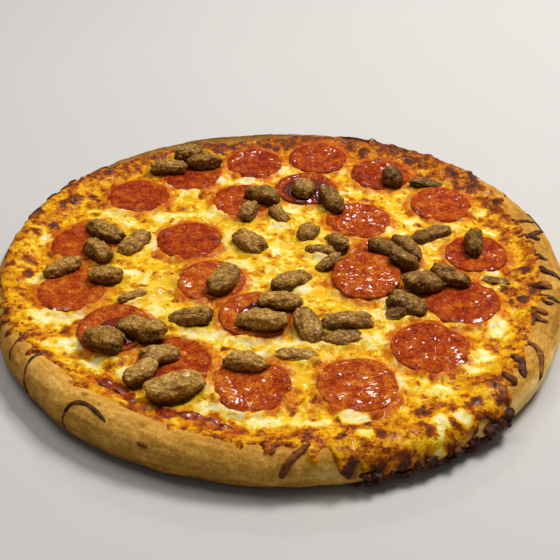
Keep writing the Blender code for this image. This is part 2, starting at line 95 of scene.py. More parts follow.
# Pale, hardly baked patches of cheese: (x, y, half length along x, half length along y)
PALE = (
    (-95, 47, 8, 4), (-88, 38, 6, 4), (-60, 80, 8, 4), (-71, 15, 3, 10), (-29, 22, 3, 10), (-55, 72, 8, 4),
    (-38, 47, 7, 6), (0, 34, 7, 5), (5, 95, 6, 5), (-35, 84, 5, 3), (8, 52, 6, 4), (62, 27, 8, 5),
    (113, 50, 6, 4), (98, 33, 6, 4), (-127, -18, 5, 6), (-118, -49, 9, 7), (-104, -70, 10, 6), (-80, -12, 7, 4),
    (-78, -35, 7, 4), (-58, -45, 9, 4), (-87, -84, 9, 4), (-70, -90, 7, 4), (22, 3, 5, 3), (-24, -3, 7, 4),
    (12, -27, 7, 4), (-38, -64, 12, 5), (-20, -69, 9, 4), (14, -71, 10, 4), (-8, -78, 7, 3), (50, -48, 6, 4),
    (55, -36, 6, 3), (46, -68, 7, 5), (112, -12, 5, 4), (105, -25, 5, 3), (108, -57, 6, 9), (95, -79, 7, 6),
    (-32, -105, 8, 5), (-22, -115, 10, 5), (-106, -51, 8, 6), (-14, -119, 8, 4), (-32, -114, 10, 4), (-6, -124, 13, 4.5), (18, -125, 7, 3), (32, -122, 7, 4), (58, -99, 9, 5), (73, -105, 7, 5),
    (90, -90, 5, 4), (68, -136, 3, 7), (70, -127, 3.5, 5), (80, -124, 4, 4), (38, -135, 5, 4), (-3, 8, 6, 4),
    (-65, 43, 8, 4), (-20, 84, 6, 4), (40, 70, 5, 3), (75, 40, 6, 4), (118, 30, 5, 4), (-130, 20, 4, 6),
)

# Pools of clear yellow fat: (x, y, half length along x, half length along y)
FAT_POOLS = (
    (10.5, -97, 6.5, 8), (7, 18, 9, 6), (-57, -19, 11, 6), (-66, -6, 8, 4), (22, -30, 8, 4), (78, -50, 6, 4),
    (40, 90, 5, 5), (48, 68, 5, 4), (-30, 38, 5, 4), (-62, -30, 6, 5), (38, -82, 9, 4), (86, -56, 6, 3),
    (-86, 40, 6, 3), (0, -8, 6, 3), (100, -88, 5, 4), (33, -40, 6, 4),
)

# Scorched spots: (x, y, radius, darkness)
SCORCHED = (
    (-95, -100, 3, 0.8), (-88, -109, 3, 0.7), (-80, -116, 2.5, 0.7), (-58, -138, 2.5, 0.6), (-60, -129, 3, 0.6),
    (-128, -62, 3, 0.7), (-136, -50, 3, 0.7), (-113, 101, 4, 0.85), (-130, 77, 4, 0.85), (-136, 66, 5, 0.95),
    (-143, 50, 5, 1.0), (-149, 24, 4, 0.85), (-150, 8, 4, 0.85), (-2, -142, 3, 0.7), (27, -134, 4, 0.75), (44, -136, 5, 0.75),
    (43, -146, 4, 0.7), (64, -118, 6, 0.85), (63, -129, 4, 0.75), (88, -114, 6, 0.75), (96, -122, 6, 0.8),
    (80, -140, 6, 0.9), (70, -145, 4, 0.85), (131, -28, 5, 0.8), (127, 55, 5, 0.85), (118, 83, 4, 0.65),
    (82, 117, 5, 0.65), (137, 36, 5, 0.75), (-6, 127, 8, 0.85), (37, -152, 6, 1.0), (106, -99, 4, 0.8),
    (112, -90, 3, 0.8), (52, -142, 5, 0.8), (30, -148, 5, 0.9), (108, 96, 5, 0.7),
    (143, 22, 4, 0.8), (60, 131, 5, 0.8), (-70, 128, 4, 0.6), (-132, -35, 3, 0.6), (100, -110, 4, 0.8),
    (-107, 21, 3, 0.55), (-94, -7, 4, 0.5), (-57, 7, 4, 0.5), (-101, -28, 3, 0.45), (-115, -68, 3, 0.6),
    (-96, -62, 3, 0.5), (-110, -80, 4, 0.6), (-30, -118, 3, 0.55), (-20, -133, 4, 0.6), (10, -137, 4, 0.5),
    (26, -125, 4, 0.5),
)

# The fringe of burnt cheese that hangs at the front
FRINGE_AZIMUTH = 297.0
FRINGE_SPREAD = 12.5

# Crumbs of the fringe: (middle azimuth, half their spread, lowest turn, highest turn, count, least and most half size)
CRUMBS = (
    (297.0, 12.5, -44.0, 0.0, 64, 1.0, 2.9),
    (309.5, 3.0, -28.0, 24.0, 20, 1.4, 3.2),
    (285.5, 3.0, -42.0, 8.0, 18, 1.2, 2.9),
)

# Burnt strands of cheese on the rim: (azimuths, turns, half thickness, arch, how burnt), where a strand starts at the
# first azimuth and turn, bends towards the second and ends at the third
STRANDS = (
    ((231.0, 228.5, 239.0), (-18, 130, 62), 1.15, 0.0, 0.9),
    ((215.0, 216.5, 219.5), (135, 60, -8), 1.0, 0.0, 0.85),
    ((207.0, 209.0, 212.0), (120, 80, 25), 1.0, 0.0, 0.85),
    ((270.6, 270.0, 274.8), (9, 54, 93), 2.1, 0.0, 0.70),
    ((268.6, 268.8, 269.2), (74, 84, 94), 1.7, 0.0, 0.7),
    ((329.4, 328.4, 323.0), (118, 69, 21), 1.5, 0.0, 0.70),
    ((323.4, 320.7, 320.2), (118, 88, 57), 2.3, 0.0, 0.82),
    ((317.2, 316.6, 317.0), (106, 86, 62), 2.2, 0.0, 0.82),
    ((314.0, 313.8, 312.2), (108, 84, 52), 2.0, 0.0, 0.64),
    ((337.6, 336.5, 336.0), (114, 99, 80), 1.8, 0.0, 0.70),
    ((341.2, 339.8, 338.8), (122, 105, 88), 1.9, 0.0, 0.68),
    ((343.4, 342.8, 342.4), (106, 92, 76), 1.4, 0.0, 0.92),
    ((345.8, 344.1, 344.8), (116, 98, 58), 1.4, 0.0, 0.92),
    ((350.4, 349.6, 347.8), (140, 119, 88), 2.6, 0.0, 0.78),
    ((356.8, 353.6, 351.2), (108, 103, 55), 1.9, 0.0, 1.0),
    ((0.8, 0.2, -1.4), (112, 101, 90), 1.3, 0.0, 0.9),
    ((9.2, 7.2, 11.0), (124, 113, 39), 1.8, 0.0, 0.92),
    ((8.4, 7.6, 6.2), (108, 97, 84), 1.5, 0.0, 0.9),
    ((15.6, 13.7, 14.6), (116, 103, 56), 1.3, 0.0, 0.88),
    ((18.8, 16.3, 11.0), (44, 40, 40), 0.7, 0.0, 0.9),
    ((44.0, 40.0, 35.5), (54, 50, 54), 0.75, 0.0, 0.8),
    ((74.0, 69.5, 65.0), (88, 86, 92), 0.6, 1.0, 0.9),
    ((66.8, 65.2, 63.3), (96, 88, 98), 0.5, 3.2, 0.9),
    ((137.0, 138.0, 141.5), (78, 64, 60), 1.2, 0.0, 0.85),
    ((147.0, 149.0, 151.5), (74, 62, 54), 1.4, 0.0, 0.9),
    ((153.0, 154.5, 156.0), (84, 58, 40), 1.5, 0.0, 0.9),
    ((158.5, 160.5, 163.0), (76, 52, 40), 1.6, 0.0, 0.9),
    ((186.0, 189.0, 192.0), (60, 45, 50), 0.9, 0.0, 0.8),
    ((199.0, 200.0, 202.5), (70, 50, 30), 0.9, 0.0, 0.8),
    ((246.0, 246.5, 247.5), (48, 44, 42), 0.9, 0.0, 0.8),
    ((25.0, 26.0, 28.0), (80, 60, 48), 0.7, 0.0, 0.8),
)

STRAND_FLATNESS = 0.6

# Lumps of sausage, one line for each of its nodes: (x, y, length, width, height, azimuth)
SAUSAGE = (
    ((-68, 95, 26, 13, 8, -3), (-47, 101, 25, 13, 9, 2), (-57, 112, 22, 13, 9, 35)),
    ((-97, 23, 30, 14, 8, -36), (-80, 14, 26, 14, 8, 60)),
    ((-98, 4, 24, 13, 8, -48),),
    ((-115, -11, 25, 12, 7, 35),),
    ((-91, -19, 21, 12, 8, 0),),
    ((-75, -33, 21, 8, 4, 38),),
    ((-44, -53, 27, 13, 8, -5),),
    ((-84, -72, 24, 16, 9, -30), (-67, -65, 30, 15, 9, -22)),
    ((-56, -82.5, 23, 12, 7, 20), (-64, -96, 20, 12, 7, 40), (-48, -106, 32, 16, 9, 22)),
    ((-16, -87.5, 24, 12, 8, -8),),
    ((8, -80, 26, 10, 5, -3),),
    ((-29, -24, 27, 16, 9, 65),),
    ((6, -22, 30, 14, 8, 40),),
    ((0, -42, 27, 13, 8, -8),),
    ((-9, -58, 29, 14, 9, -8),),
    ((14, -61, 26, 15, 8, -72), (33, -56, 30, 14, 8, 5), (29, -67, 28, 12, 5, 8)),
    ((26, -6, 18, 9, 5, 30),),
    ((23, 8, 22, 10, 6, -10), (32, 14, 25, 11, 7, -70)),
    ((16, 25, 19, 14, 7, 70),),
    ((-17, 15, 27, 16, 8, -50),),
    ((-10, 61, 27, 14, 9, -30),),
    ((-18, 45, 19, 11, 7, 78),),
    ((0, 42, 20, 10, 6, -55),),
    ((14, 68, 22, 15, 9, 80),),
    ((30, 56, 26, 13, 8, -68),),
    ((68, 81, 19, 14, 10, 90),),
    ((88, 79, 24, 10, 5, 3),),
    ((87, 24, 26, 11, 7, 25), (78, 19, 14, 11, 6, 40)),
    ((58, 4, 28, 12, 8, -42), (69, 5, 27, 13, 9, -65), (66, -8, 19, 12, 8, 0)),
    ((86, -14, 20, 11, 7, -60), (90, -22, 21, 11, 7, -15), (74, -26, 26, 16, 8, 10)),
    ((64, -42, 24, 15, 8, -20), (57, -48, 14, 11, 6, 20)),
    ((106, 11, 24, 12, 9, 82),),
    ((112, -19, 19, 8, 4, -8),),
)
SAUSAGE_BLUNTNESS = 2.6
SAUSAGE_SINK = 0.55
SAUSAGE_SHRINK = 0.86
SAUSAGE_LOWER = 2.3

# How far the slices have sunk into the melted cheese
SLICE_SINK = 0.5

# Slices that hold a pool of oil: (node, height above the slice's middle, shift of the pool in x and y, its share of
# the slice's radius)
OIL_POOLS = (
    ("pepperoni_18", 1.4, 2.8, -3.4, 0.64),
    ("pepperoni_08", 1.2, 0.0, -2.5, 0.80),
    ("pepperoni_21", 1.2, 3.6, -2.4, 0.64),
)

# Blisters of the cheese
BLISTERS = 900
BLISTER_SEED = 11


def smooth(low, high, value):
    share = np.clip((value - low) / (high - low), 0.0, 1.0)
    return share * share * (3.0 - 2.0 * share)


def ripple(points, size, seed, octaves=1):
    """Noise from about -1 to 1 at each point, in patches of about the size given."""
    shift = Vector((17.0 * seed, 5.0 * seed, 31.0 * seed))
    places = (Vector(point) / size + shift for point in points)
    if octaves == 1:
        return np.array([noise.noise(place) for place in places])
    return np.array([noise.fractal(place, 1.0, 2.0, octaves) for place in places])


def cells(points, size, seed):
    """How deep in its own grain each point lies: 0 in the crevice between two grains, about 1 in a grain's middle."""
    shift = Vector((13.0 * seed, 7.0 * seed, 3.0 * seed))
    found = (noise.voronoi(Vector(point) / size + shift)[0] for point in points)
    return np.array([min(1.0, (far[1] - far[0]) * 1.6) for far in found])


def tree_of(node):
    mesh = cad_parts[node].data
    return BVHTree.FromPolygons([v.co.copy() for v in mesh.vertices], [tuple(f.vertices) for f in mesh.polygons])


def points_of(node):
    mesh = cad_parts[node].data
    flat = np.zeros(len(mesh.vertices) * 3)
    mesh.vertices.foreach_get("co", flat)
    return flat.reshape(-1, 3) / MM


def round_mean(values, reach):
    """A moving average round a closed ring of values."""
    total = np.zeros_like(values)
    for shift in range(-reach, reach + 1):
        total += np.roll(values, shift)
    return total / (2 * reach + 1)


class Rim:
    """The crust's outline and height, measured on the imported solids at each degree."""

    def __init__(self):
        crust = tree_of("crust")
        outer = []
        top = []
        for degree in range(360):
            out = Vector((math.cos(math.radians(degree)), math.sin(math.radians(degree)), 0.0))
            start = out * 0.3 + UP * RIM_MIDDLE * MM
            outer.append(crust.ray_cast(start, -out)[0].to_2d().length / MM)
            over = out * (outer[-1] - RIM_HALF_WIDTH) * MM + UP * 0.1
            top.append(crust.ray_cast(over, -UP)[0].z / MM)
        self.degrees = np.arange(361.0)
        self.outer = self.closed(round_mean(np.minimum(outer, round_mean(np.array(outer), 8) + 0.4), 2))
        self.top = self.closed(round_mean(np.minimum(top, round_mean(np.array(top), 8) + 0.4), 2))
        self.edge = self.cheese_edge()

    @staticmethod
    def closed(values):
        return np.append(values, values[0])

    def cheese_edge(self):
        """How far out the cheese's solid runs, at each degree."""
        cheese = points_of("cheese")
        azimuth = np.degrees(np.arctan2(cheese[:, 1], cheese[:, 0]))
        radius = np.hypot(cheese[:, 0], cheese[:, 1])
        reach = []
        for degree in range(360):
            away = np.abs((azimuth - degree + 180.0) % 360.0 - 180.0)
            reach.append(radius[away < EDGE_WINDOW].max())
        return self.closed(round_mean(np.array(reach), 1) + self.more_cheese())

    @staticmethod
    def more_cheese():
        """How much further out than its solid the cheese's thin edge runs, at each degree."""
        degrees = np.arange(360.0)
        azimuths, extra = zip(*CHEESE_OVERRUN)
        return np.interp(degrees, azimuths, extra, period=360.0)

    def at(self, table, azimuth):
        return np.interp(np.degrees(azimuth) % 360.0, self.degrees, table)

    def centre(self, azimuth):
        return self.at(self.outer, azimuth) - RIM_HALF_WIDTH

    def surface(self, azimuth, turn, outwards=0.0):
        """Points of the crust, moved off it by outwards. Azimuths are in radians here."""
        centre = self.centre(azimuth)
        top = self.at(self.top, azimuth)
        bend = np.radians(np.minimum(turn, 90.0))
        round_radius = centre + (RIM_HALF_WIDTH + outwards) * np.cos(bend)
        round_height = top / 2.0 + (top / 2.0 + outwards) * np.sin(bend)
        slope_radius = centre - (centre - FLAT_RADIUS) * (turn - 90.0) / 90.0
        slope_height = MIDDLE_HEIGHT + (top - MIDDLE_HEIGHT) * smooth(180.0, 90.0, turn) + outwards
        radius = np.where(turn > 90.0, slope_radius, round_radius)
        height = np.where(turn > 90.0, slope_height, round_height)
        return np.stack([radius * np.cos(azimuth), radius * np.sin(azimuth), height], axis=-1)

    def run_of_edge(self, azimuth):
        """Length along the surface, from the centre out, at which the cheese's solid ends."""
        beyond = self.at(self.edge, azimuth) - self.centre(azimuth)
        on_slope = FLAT_RADIUS + SLOPE_ARC * (1.0 + beyond / (self.centre(azimuth) - FLAT_RADIUS))
        bend = np.arcsin(np.clip(beyond / RIM_HALF_WIDTH, 0.0, 0.95))
        return np.where(beyond < 0.0, on_slope, FLAT_RADIUS + SLOPE_ARC + RIM_ARC * bend)

    def run_of_turn(self, turn):
        on_slope = FLAT_RADIUS + SLOPE_ARC * (180.0 - turn) / 90.0
        return np.where(turn > 90.0, on_slope, FLAT_RADIUS + SLOPE_ARC + RIM_ARC * np.radians(90.0 - turn))

    def turn_of_run(self, run):
        on_slope = 180.0 - 90.0 * (run - FLAT_RADIUS) / SLOPE_ARC
        on_rim = 90.0 - np.degrees((run - FLAT_RADIUS - SLOPE_ARC) / RIM_ARC)
        return np.where(run < FLAT_RADIUS, 180.0, np.where(run < FLAT_RADIUS + SLOPE_ARC, on_slope, on_rim))

    def edge_run(self, azimuth, points):
        """The ragged edge of the visible cheese, drips included."""
        run = self.run_of_edge(azimuth)
        run = run + 2.4 * ripple(points, 9.0, 1) + 1.8 * ripple(points, 3.6, 2)
        for drip_azimuth, width, length, _ in DRIPS:
            away = (np.degrees(azimuth) - drip_azimuth + 180.0) % 360.0 - 180.0
            run = run + length * np.exp(-((np.radians(away) * 150.0 / width) ** 4))
        return run


RIM = Rim()


class Wire:
    """A shader socket that can be used in plain arithmetic."""

    def __init__(self, surface, socket):
        self.surface = surface
        self.socket = socket

    def join(self, operation, first, second):
        return self.surface.node("ShaderNodeMath", {"operation": operation}, {0: first, 1: second})

    def __add__(self, other):
        return self.join("ADD", self, other)

    def __radd__(self, other):
        return self.join("ADD", other, self)

    def __sub__(self, other):
        return self.join("SUBTRACT", self, other)

    def __rsub__(self, other):
        return self.join("SUBTRACT", other, self)

    def __mul__(self, other):
        return self.join("MULTIPLY", self, other)

    def __rmul__(self, other):
        return self.join("MULTIPLY", other, self)

    def ramp(self, low, high, start=0.0, end=1.0):
        """Goes smoothly from start to end as this goes from low to high."""
        sockets = {"Value": self, "From Min": low, "From Max": high, "To Min": start, "To Max": end}
        return self.surface.node("ShaderNodeMapRange", {"interpolation_type": "SMOOTHSTEP"}, sockets)


class Surface:
    """A material whose nodes are all made by one method."""

    def __init__(self, name, **constants):
        self.material = bpy.data.materials.new(name)
        self.material.use_nodes = True
        self.tree = self.material.node_tree
        self.shader = self.tree.nodes["Principled BSDF"]
        for socket, value in constants.items():
            self.shader.inputs[socket.replace("_", " ")].default_value = value
        place = self.node("ShaderNodeTexCoord", output="Object")
        self.place = self.node("ShaderNodeVectorMath", {"operation": "SCALE"}, {0: place, "Scale": 1.0 / MM})
        wander = self.node("ShaderNodeTexNoise", sockets={"Vector": self.place, "Scale": 0.35}, output="Color")
        wander = self.node("ShaderNodeVectorMath", {"operation": "SUBTRACT"}, {0: wander, 1: (0.5, 0.5, 0.5)})
        wander = self.node("ShaderNodeVectorMath", {"operation": "SCALE"}, {0: wander, "Scale": 3.0})
        self.bent = self.node("ShaderNodeVectorMath", sockets={0: self.place, 1: wander})

    def node(self, kind, settings=(), sockets=(), stops=(), output=0):
        made = self.tree.nodes.new(kind)
        for name, value in dict(settings).items():
            setattr(made, name, value)
        for index, (position, colour) in enumerate(stops):
            if index < 2:
                stop = made.color_ramp.elements[index]
                stop.position = position
            else:
                stop = made.color_ramp.elements.new(position)
            stop.color = (*colour, 1.0)
        for name, value in dict(sockets).items():
            if isinstance(value, Wire):
                self.tree.links.new(value.socket, made.inputs[name])
            else:
                made.inputs[name].default_value = value
        return Wire(self, made.outputs[output])

    def noise(self, size, detail=2.0, roughness=0.5, shift=0.0, warp=0.0):
        sockets = {"Vector": self.place, "Scale": 1.0 / size, "Detail": detail, "Roughness": roughness,
                   "W": shift, "Distortion": warp}
        return self.node("ShaderNodeTexNoise", {"noise_dimensions": "4D"}, sockets)

    def grains(self, size, feature="F1", output="Distance"):
        sockets = {"Vector": self.bent, "Scale": 1.0 / size}
        return self.node("ShaderNodeTexVoronoi", {"feature": feature}, sockets, output=output)

    def read(self, attribute):
        return self.node("ShaderNodeAttribute", {"attribute_name": attribute}, output="Fac")

    def blend(self, first, second, factor):
        """Goes from the first colour to the second as the factor goes from 0 to 1."""
        sockets = {0: factor}
        for socket, colour in ((6, first), (7, second)):
            sockets[socket] = colour if isinstance(colour, Wire) else (*colour, 1.0)
        return self.node("ShaderNodeMix", {"data_type": "RGBA"}, sockets, output=2)

    def colours(self, factor, *stops):
        return self.node("ShaderNodeValToRGB", sockets={"Fac": factor}, stops=stops, output="Color")

    def bump(self, height, distance, strength=1.0, over=None):
        sockets = {"Height": height, "Distance": distance * MM, "Strength": strength}
        if over:
            sockets["Normal"] = over
        return self.node("ShaderNodeBump", sockets=sockets, output="Normal")

    def finish(self, **links):
        for socket, wire in links.items():
            self.tree.links.new(wire.socket, self.shader.inputs[socket.replace("_", " ")])
        return self.material


def cheese_finish():
    surface = Surface(
        "melted_cheese", Specular_IOR_Level=0.07, Coat_Roughness=0.08,
        Subsurface_Weight=0.05, Subsurface_Radius=(3.0, 1.6, 0.4), Subsurface_Scale=0.001,
    )
    baked = surface.read("baked")
    red = surface.read("red")
    fat = surface.read("fat")
    coarse = surface.noise(5.5, 3.0, 0.6)
    fine = surface.noise(1.6, 3.0, 0.65, 4.0)
    large = surface.grains(5.5)
    large = large.ramp(0.22, 0.42, 1.0, 0.0) * large.ramp(0.0, 0.26, 0.45, 1.0)
    large = large * surface.noise(5.0, 1.0, 0.5, 6.0).ramp(0.45, 0.56)
    small = surface.grains(3.0).ramp(0.14, 0.36, 1.0, 0.0) * surface.noise(6.0, 1.0, 0.5, 7.0).ramp(0.45, 0.56)
    blisters = large + small * 0.8
    lively = baked.ramp(0.04, 0.22, 0.40, 1.0)
    curds = (surface.noise(5.5, 3.0, 0.6, 12.0).ramp(0.43, 0.57) - 0.5) * 0.22
    cloudy = coarse.ramp(0.50, 0.66) * 0.24 + fine.ramp(0.56, 0.72) * 0.12 + (fine - 0.5) * 0.12 + curds
    # Creases are sunk and darker: browned lines, with painted shade in them.
    folds = surface.noise(4.4, 2.0, 0.5, 15.0, 1.3)
    browned_shaded_creases = folds.ramp(0.45, 0.50) * folds.ramp(0.55, 0.50) * baked.ramp(0.15, 0.35)
    tone = baked + (cloudy + blisters * 0.32 + browned_shaded_creases * 0.10) * lively
    colour = surface.colours(
        tone, (0.0, (0.92, 0.82, 0.47)), (1.0, (0.075, 0.026, 0.018)), (0.12, (0.88, 0.64, 0.060)),
        (0.24, (0.82, 0.45, 0.003)), (0.40, (0.69, 0.285, 0.002)), (0.54, (0.50, 0.135, 0.002)),
        (0.68, (0.29, 0.058, 0.004)), (0.85, (0.145, 0.036, 0.010)),
    )
    colour = surface.blend(colour, (0.84, 0.48, 0.002), fat * 0.95)
    colour = surface.blend(colour, (0.56, 0.10, 0.004), red * fine.ramp(0.3, 0.65, 0.55, 1.0))
    wet = surface.noise(9.0, 2.0, 0.5, 9.0).ramp(0.4, 0.65)
    height = coarse * 0.55 + fine * 0.40 + surface.noise(0.8, 2.0, 0.6, 2.0) * 0.14 + blisters * 0.25 - browned_shaded_creases * 0.20
    return surface.finish(
        Base_Color=colour, Roughness=wet.ramp(0.0, 1.0, 0.55, 0.40) - fat * 0.2,
        Coat_Weight=wet * 0.14 + fat * 0.35, Normal=surface.bump(height, 0.9, 1.0),
    )


def crust_finish():
    surface = Surface(
        "baked_dough", Specular_IOR_Level=0.08,
        Subsurface_Weight=0.05, Subsurface_Radius=(2.0, 1.2, 0.5), Subsurface_Scale=0.001,
    )
    # Baked browning, with painted shade low on the crust and at the left front, and painted light low at the front
    # right.
    toast_and_shade = surface.read("toast_and_shade")
    stain = surface.read("stain")
    cloudy = surface.noise(13.0, 4.0, 0.6)
    mottle = surface.noise(3.0, 4.0, 0.65, 3.0)
    speck = surface.noise(0.9, 2.0, 0.6, 7.0)
    tone = toast_and_shade + (cloudy - 0.5) * 0.50 + (mottle - 0.5) * 0.50 + (speck - 0.5) * 0.50
    colour = surface.colours(
        tone, (0.0, (0.88, 0.62, 0.22)), (1.0, (0.03, 0.011, 0.004)), (0.22, (0.69, 0.39, 0.080)),
        (0.42, (0.46, 0.220, 0.028)), (0.60, (0.25, 0.111, 0.015)), (0.80, (0.11, 0.042, 0.006)),
    )
    colour = surface.blend(colour, (0.64, 0.29, 0.035), stain * mottle.ramp(0.3, 0.62, 0.2, 0.8))
    height = cloudy * 0.5 + mottle * 0.45 + speck * 0.25
    return surface.finish(
        Base_Color=colour, Roughness=mottle.ramp(0.3, 0.7, 0.80, 0.58), Normal=surface.bump(height, 0.7, 0.8)
    )


def pepperoni_finish():
    surface = Surface(
        "cured_sausage", Specular_IOR_Level=0.06, Coat_Roughness=0.10,
        Subsurface_Weight=0.05, Subsurface_Radius=(2.2, 0.5, 0.2), Subsurface_Scale=0.001,
    )
    browned = surface.read("browned")
    tone = surface.read("tone")
    coarse = surface.noise(5.0, 3.0, 0.6)
    fine = surface.noise(1.1, 3.0, 0.65, 5.0)
    colour = surface.colours(
        (coarse - 0.5) * 1.5 + (fine - 0.5) * 1.3 + tone + 0.36, (0.15, (0.15, 0.008, 0.001)),
        (0.88, (0.66, 0.22, 0.016)), (0.38, (0.30, 0.025, 0.001)), (0.55, (0.42, 0.056, 0.002)),
        (0.70, (0.52, 0.100, 0.004)),
    )
    fat = surface.grains(2.3).ramp(0.14, 0.34, 1.0, 0.0) * fine.ramp(0.38, 0.6)
    colour = surface.blend(colour, (0.62, 0.17, 0.030), fat * 0.45)
    lean = surface.grains(3.3).ramp(0.12, 0.34, 1.0, 0.0) * coarse.ramp(0.42, 0.6)
    colour = surface.blend(colour, (0.22, 0.012, 0.005), lean * 0.5)
    colour = surface.blend(colour, (0.30, 0.040, 0.005), browned)
    height = coarse * 0.12 + fine * 0.55 + surface.noise(0.6, 1.0, 0.5, 1.0) * 0.42
    return surface.finish(
        Base_Color=colour, Roughness=fine.ramp(0.3, 0.7, 0.42, 0.60),
        Coat_Weight=surface.noise(4.0, 3.0, 0.6, 8.0).ramp(0.50, 0.62, 0.0, 0.85),
        Normal=surface.bump(height, 1.3, 1.0),
    )


def sausage_finish():
    surface = Surface("sausage_meat", Specular_IOR_Level=0.16, Coat_Roughness=0.16)
    # Painted shade in the crevices between grains.
    pit_shade = surface.read("pit_shade")
    # Painted shade low on each lump and where lumps meet, partly a dark wet rim of oil.
    low = surface.read("low")
    # Each lump's own tone, with painted light on its top and painted shade down its sides.
    shade = surface.read("shade")
    coarse = surface.noise(4.0, 3.0, 0.6)
    fine = surface.noise(1.3, 4.0, 0.7, 6.0)
    # The granules are paler in their middles and darker at their edges: painted shade between grains, matching their
    # bumps.
    granule = surface.grains(1.7).ramp(0.0, 0.55, 1.0, 0.0)
    mottle = (coarse - 0.5) * 0.80 + (fine - 0.5) * 1.20 + (granule - 0.5) * 0.22
    colour = surface.colours(
        mottle + 0.92 - pit_shade * 0.18 - shade * 0.46, (0.15, (0.050, 0.019, 0.005)),
        (0.98, (0.76, 0.50, 0.155)), (0.36, (0.125, 0.052, 0.007)), (0.55, (0.27, 0.125, 0.018)),
        (0.72, (0.44, 0.225, 0.038)), (0.86, (0.58, 0.335, 0.076)),
    )
    colour = surface.blend(colour, (0.060, 0.014, 0.003), low * 0.85)
    height = coarse * 0.35 + fine * 0.40 + granule * 0.25
    return surface.finish(
        Base_Color=colour, Roughness=coarse.ramp(0.38, 0.62, 0.62, 0.38),
        Coat_Weight=surface.noise(3.0, 2.0, 0.5, 9.0).ramp(0.54, 0.64, 0.0, 0.35),
        Normal=surface.bump(height, 1.3, 1.0),
    )


def burnt_finish():
    surface = Surface("burnt_cheese", Specular_IOR_Level=0.14)
    coarse = surface.noise(2.5, 3.0, 0.6)
    colour = surface.colours(
        coarse + 0.60 - surface.read("char") * 0.75, (0.33, (0.034, 0.011, 0.007)), (0.90, (0.52, 0.210, 0.020)),
        (0.52, (0.120, 0.034, 0.011)), (0.70, (0.30, 0.088, 0.013)),
    )
    return surface.finish(
        Base_Color=colour, Roughness=coarse.ramp(0.3, 0.7, 0.36, 0.60),
        Normal=surface.bump(surface.noise(0.8, 2.0), 0.4),
    )


def sauce_finish():
    surface = Surface("baked_sauce", Specular_IOR_Level=0.15, Coat_Weight=0.6, Coat_Roughness=0.08)
    coarse = surface.noise(3.0, 3.0, 0.6)
    colour = surface.colours(
        coarse, (0.30, (0.090, 0.008, 0.004)), (0.70, (0.50, 0.110, 0.005)), (0.5, (0.25, 0.026, 0.004))
    )
    height = coarse + surface.noise(0.9, 2.0, 0.6, 3.0) * 0.3
    return surface.finish(
        Base_Color=colour, Roughness=coarse.ramp(0.3, 0.7, 0.22, 0.40), Normal=surface.bump(height, 0.6)
    )


def oil_finish():
    surface = Surface("red_oil", IOR=1.45, Coat_Weight=1.0, Coat_Roughness=0.03)
    colour = surface.colours(
        surface.noise(7.0), (0.3, (0.060, 0.007, 0.003)), (0.7, (0.22, 0.020, 0.003))
    )
    return surface.finish(
        Base_Color=colour, Roughness=surface.noise(8.0, 1.0, 0.5, 2.0).ramp(0.3, 0.7, 0.06, 0.12),
        Normal=surface.bump(surface.noise(5.0), 0.5),
    )


def plain_finish(name, colour, roughness):
    surface = Surface(name)
    tint = surface.noise(120.0).ramp(0.3, 0.7)
    return surface.finish(
        Base_Color=surface.blend(colour, [value * 0.985 for value in colour], tint),
        Roughness=tint.ramp(0.0, 1.0, roughness, roughness + 0.03),
    )


def new_piece(bm, name, finish, nodes=()):
    """Makes a bmesh a smooth piece that rides on the pizza and stands for the nodes given."""
    mesh = bpy.data.meshes.new(name)
    bm.to_mesh(mesh)
    bm.free()
    mesh.shade_smooth()
    mesh.materials.append(finish)
    piece = bpy.data.objects.new(name, mesh)
    bpy.context.scene.collection.objects.link(piece)
    if nodes:
        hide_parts(*nodes)
    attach(piece, "root")
    return piece


def places(mesh):
    flat = np.zeros(len(mesh.vertices) * 3)
    mesh.vertices.foreach_get("co", flat)
    return flat.reshape(-1, 3)


def put(mesh, points):
    mesh.vertices.foreach_set("co", (points * MM).ravel())
    mesh.update()


def mark(mesh, name, values):
    """Stores one number for each vertex, for the material to read."""
    layer = mesh.attributes.new(name, "FLOAT", "POINT")
    layer.data.foreach_set("value", np.clip(values, 0.0, 1.0).astype(np.float32))


def spots(x, y, table, spread=1.0):
    """1 in the middle of the nearest of a table's ellipses, falling to 0 at its edge."""
    found = np.zeros_like(x)
    for spot_x, spot_y, half_x, half_y in table:
        away = np.hypot((x - spot_x) / (half_x * spread), (y - spot_y) / (half_y * spread))
        found = np.maximum(found, 1.0 - smooth(0.55, 1.15, away))
    return found


def beyond_lump(row, x, y):
    """Roughly how far each place lies outside a lump of sausage's outline."""
    lump_x, lump_y, length, width, _, azimuth = row
    cosine, sine = math.cos(math.radians(azimuth)), math.sin(math.radians(azimuth))
    u = ((x - lump_x) * cosine + (y - lump_y) * sine) / (length / 2.0)
    v = ((y - lump_y) * cosine - (x - lump_x) * sine) / (width / 2.0)
    return (np.hypot(u, v) - 1.0) * width / 2.0


def slice_places():
    """Centre and radius of each slice of pepperoni, from its imported solid."""
    found = []
    for node in sorted(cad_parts):
        if node.startswith("pepperoni"):
            low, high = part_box(node)
            middle = (low + high) / 2.0 / MM
            found.append((middle.x, middle.y, (high.x - low.x + high.y - low.y) / 4.0 / MM))
    return found


def ring_and_azimuth(mesh):
    """Reads a square grid from -1 to 1 as a disc: each vertex's ring from 0 to 1, and its azimuth in radians."""
    square = places(mesh)
    u, v = square[:, 0], square[:, 1]
    wide = np.abs(u) >= np.abs(v)
    ring = np.maximum(np.abs(u), np.abs(v))
    safe_u = np.where(np.abs(u) < 1e-9, 1.0, u)
    safe_v = np.where(np.abs(v) < 1e-9, 1.0, v)
    across = np.pi / 4.0 * v / safe_u + np.where(u < 0.0, np.pi, 0.0)
    upright = np.pi / 2.0 - np.pi / 4.0 * u / safe_v + np.where(v < 0.0, np.pi, 0.0)
    return ring, np.where(wide, across, upright)


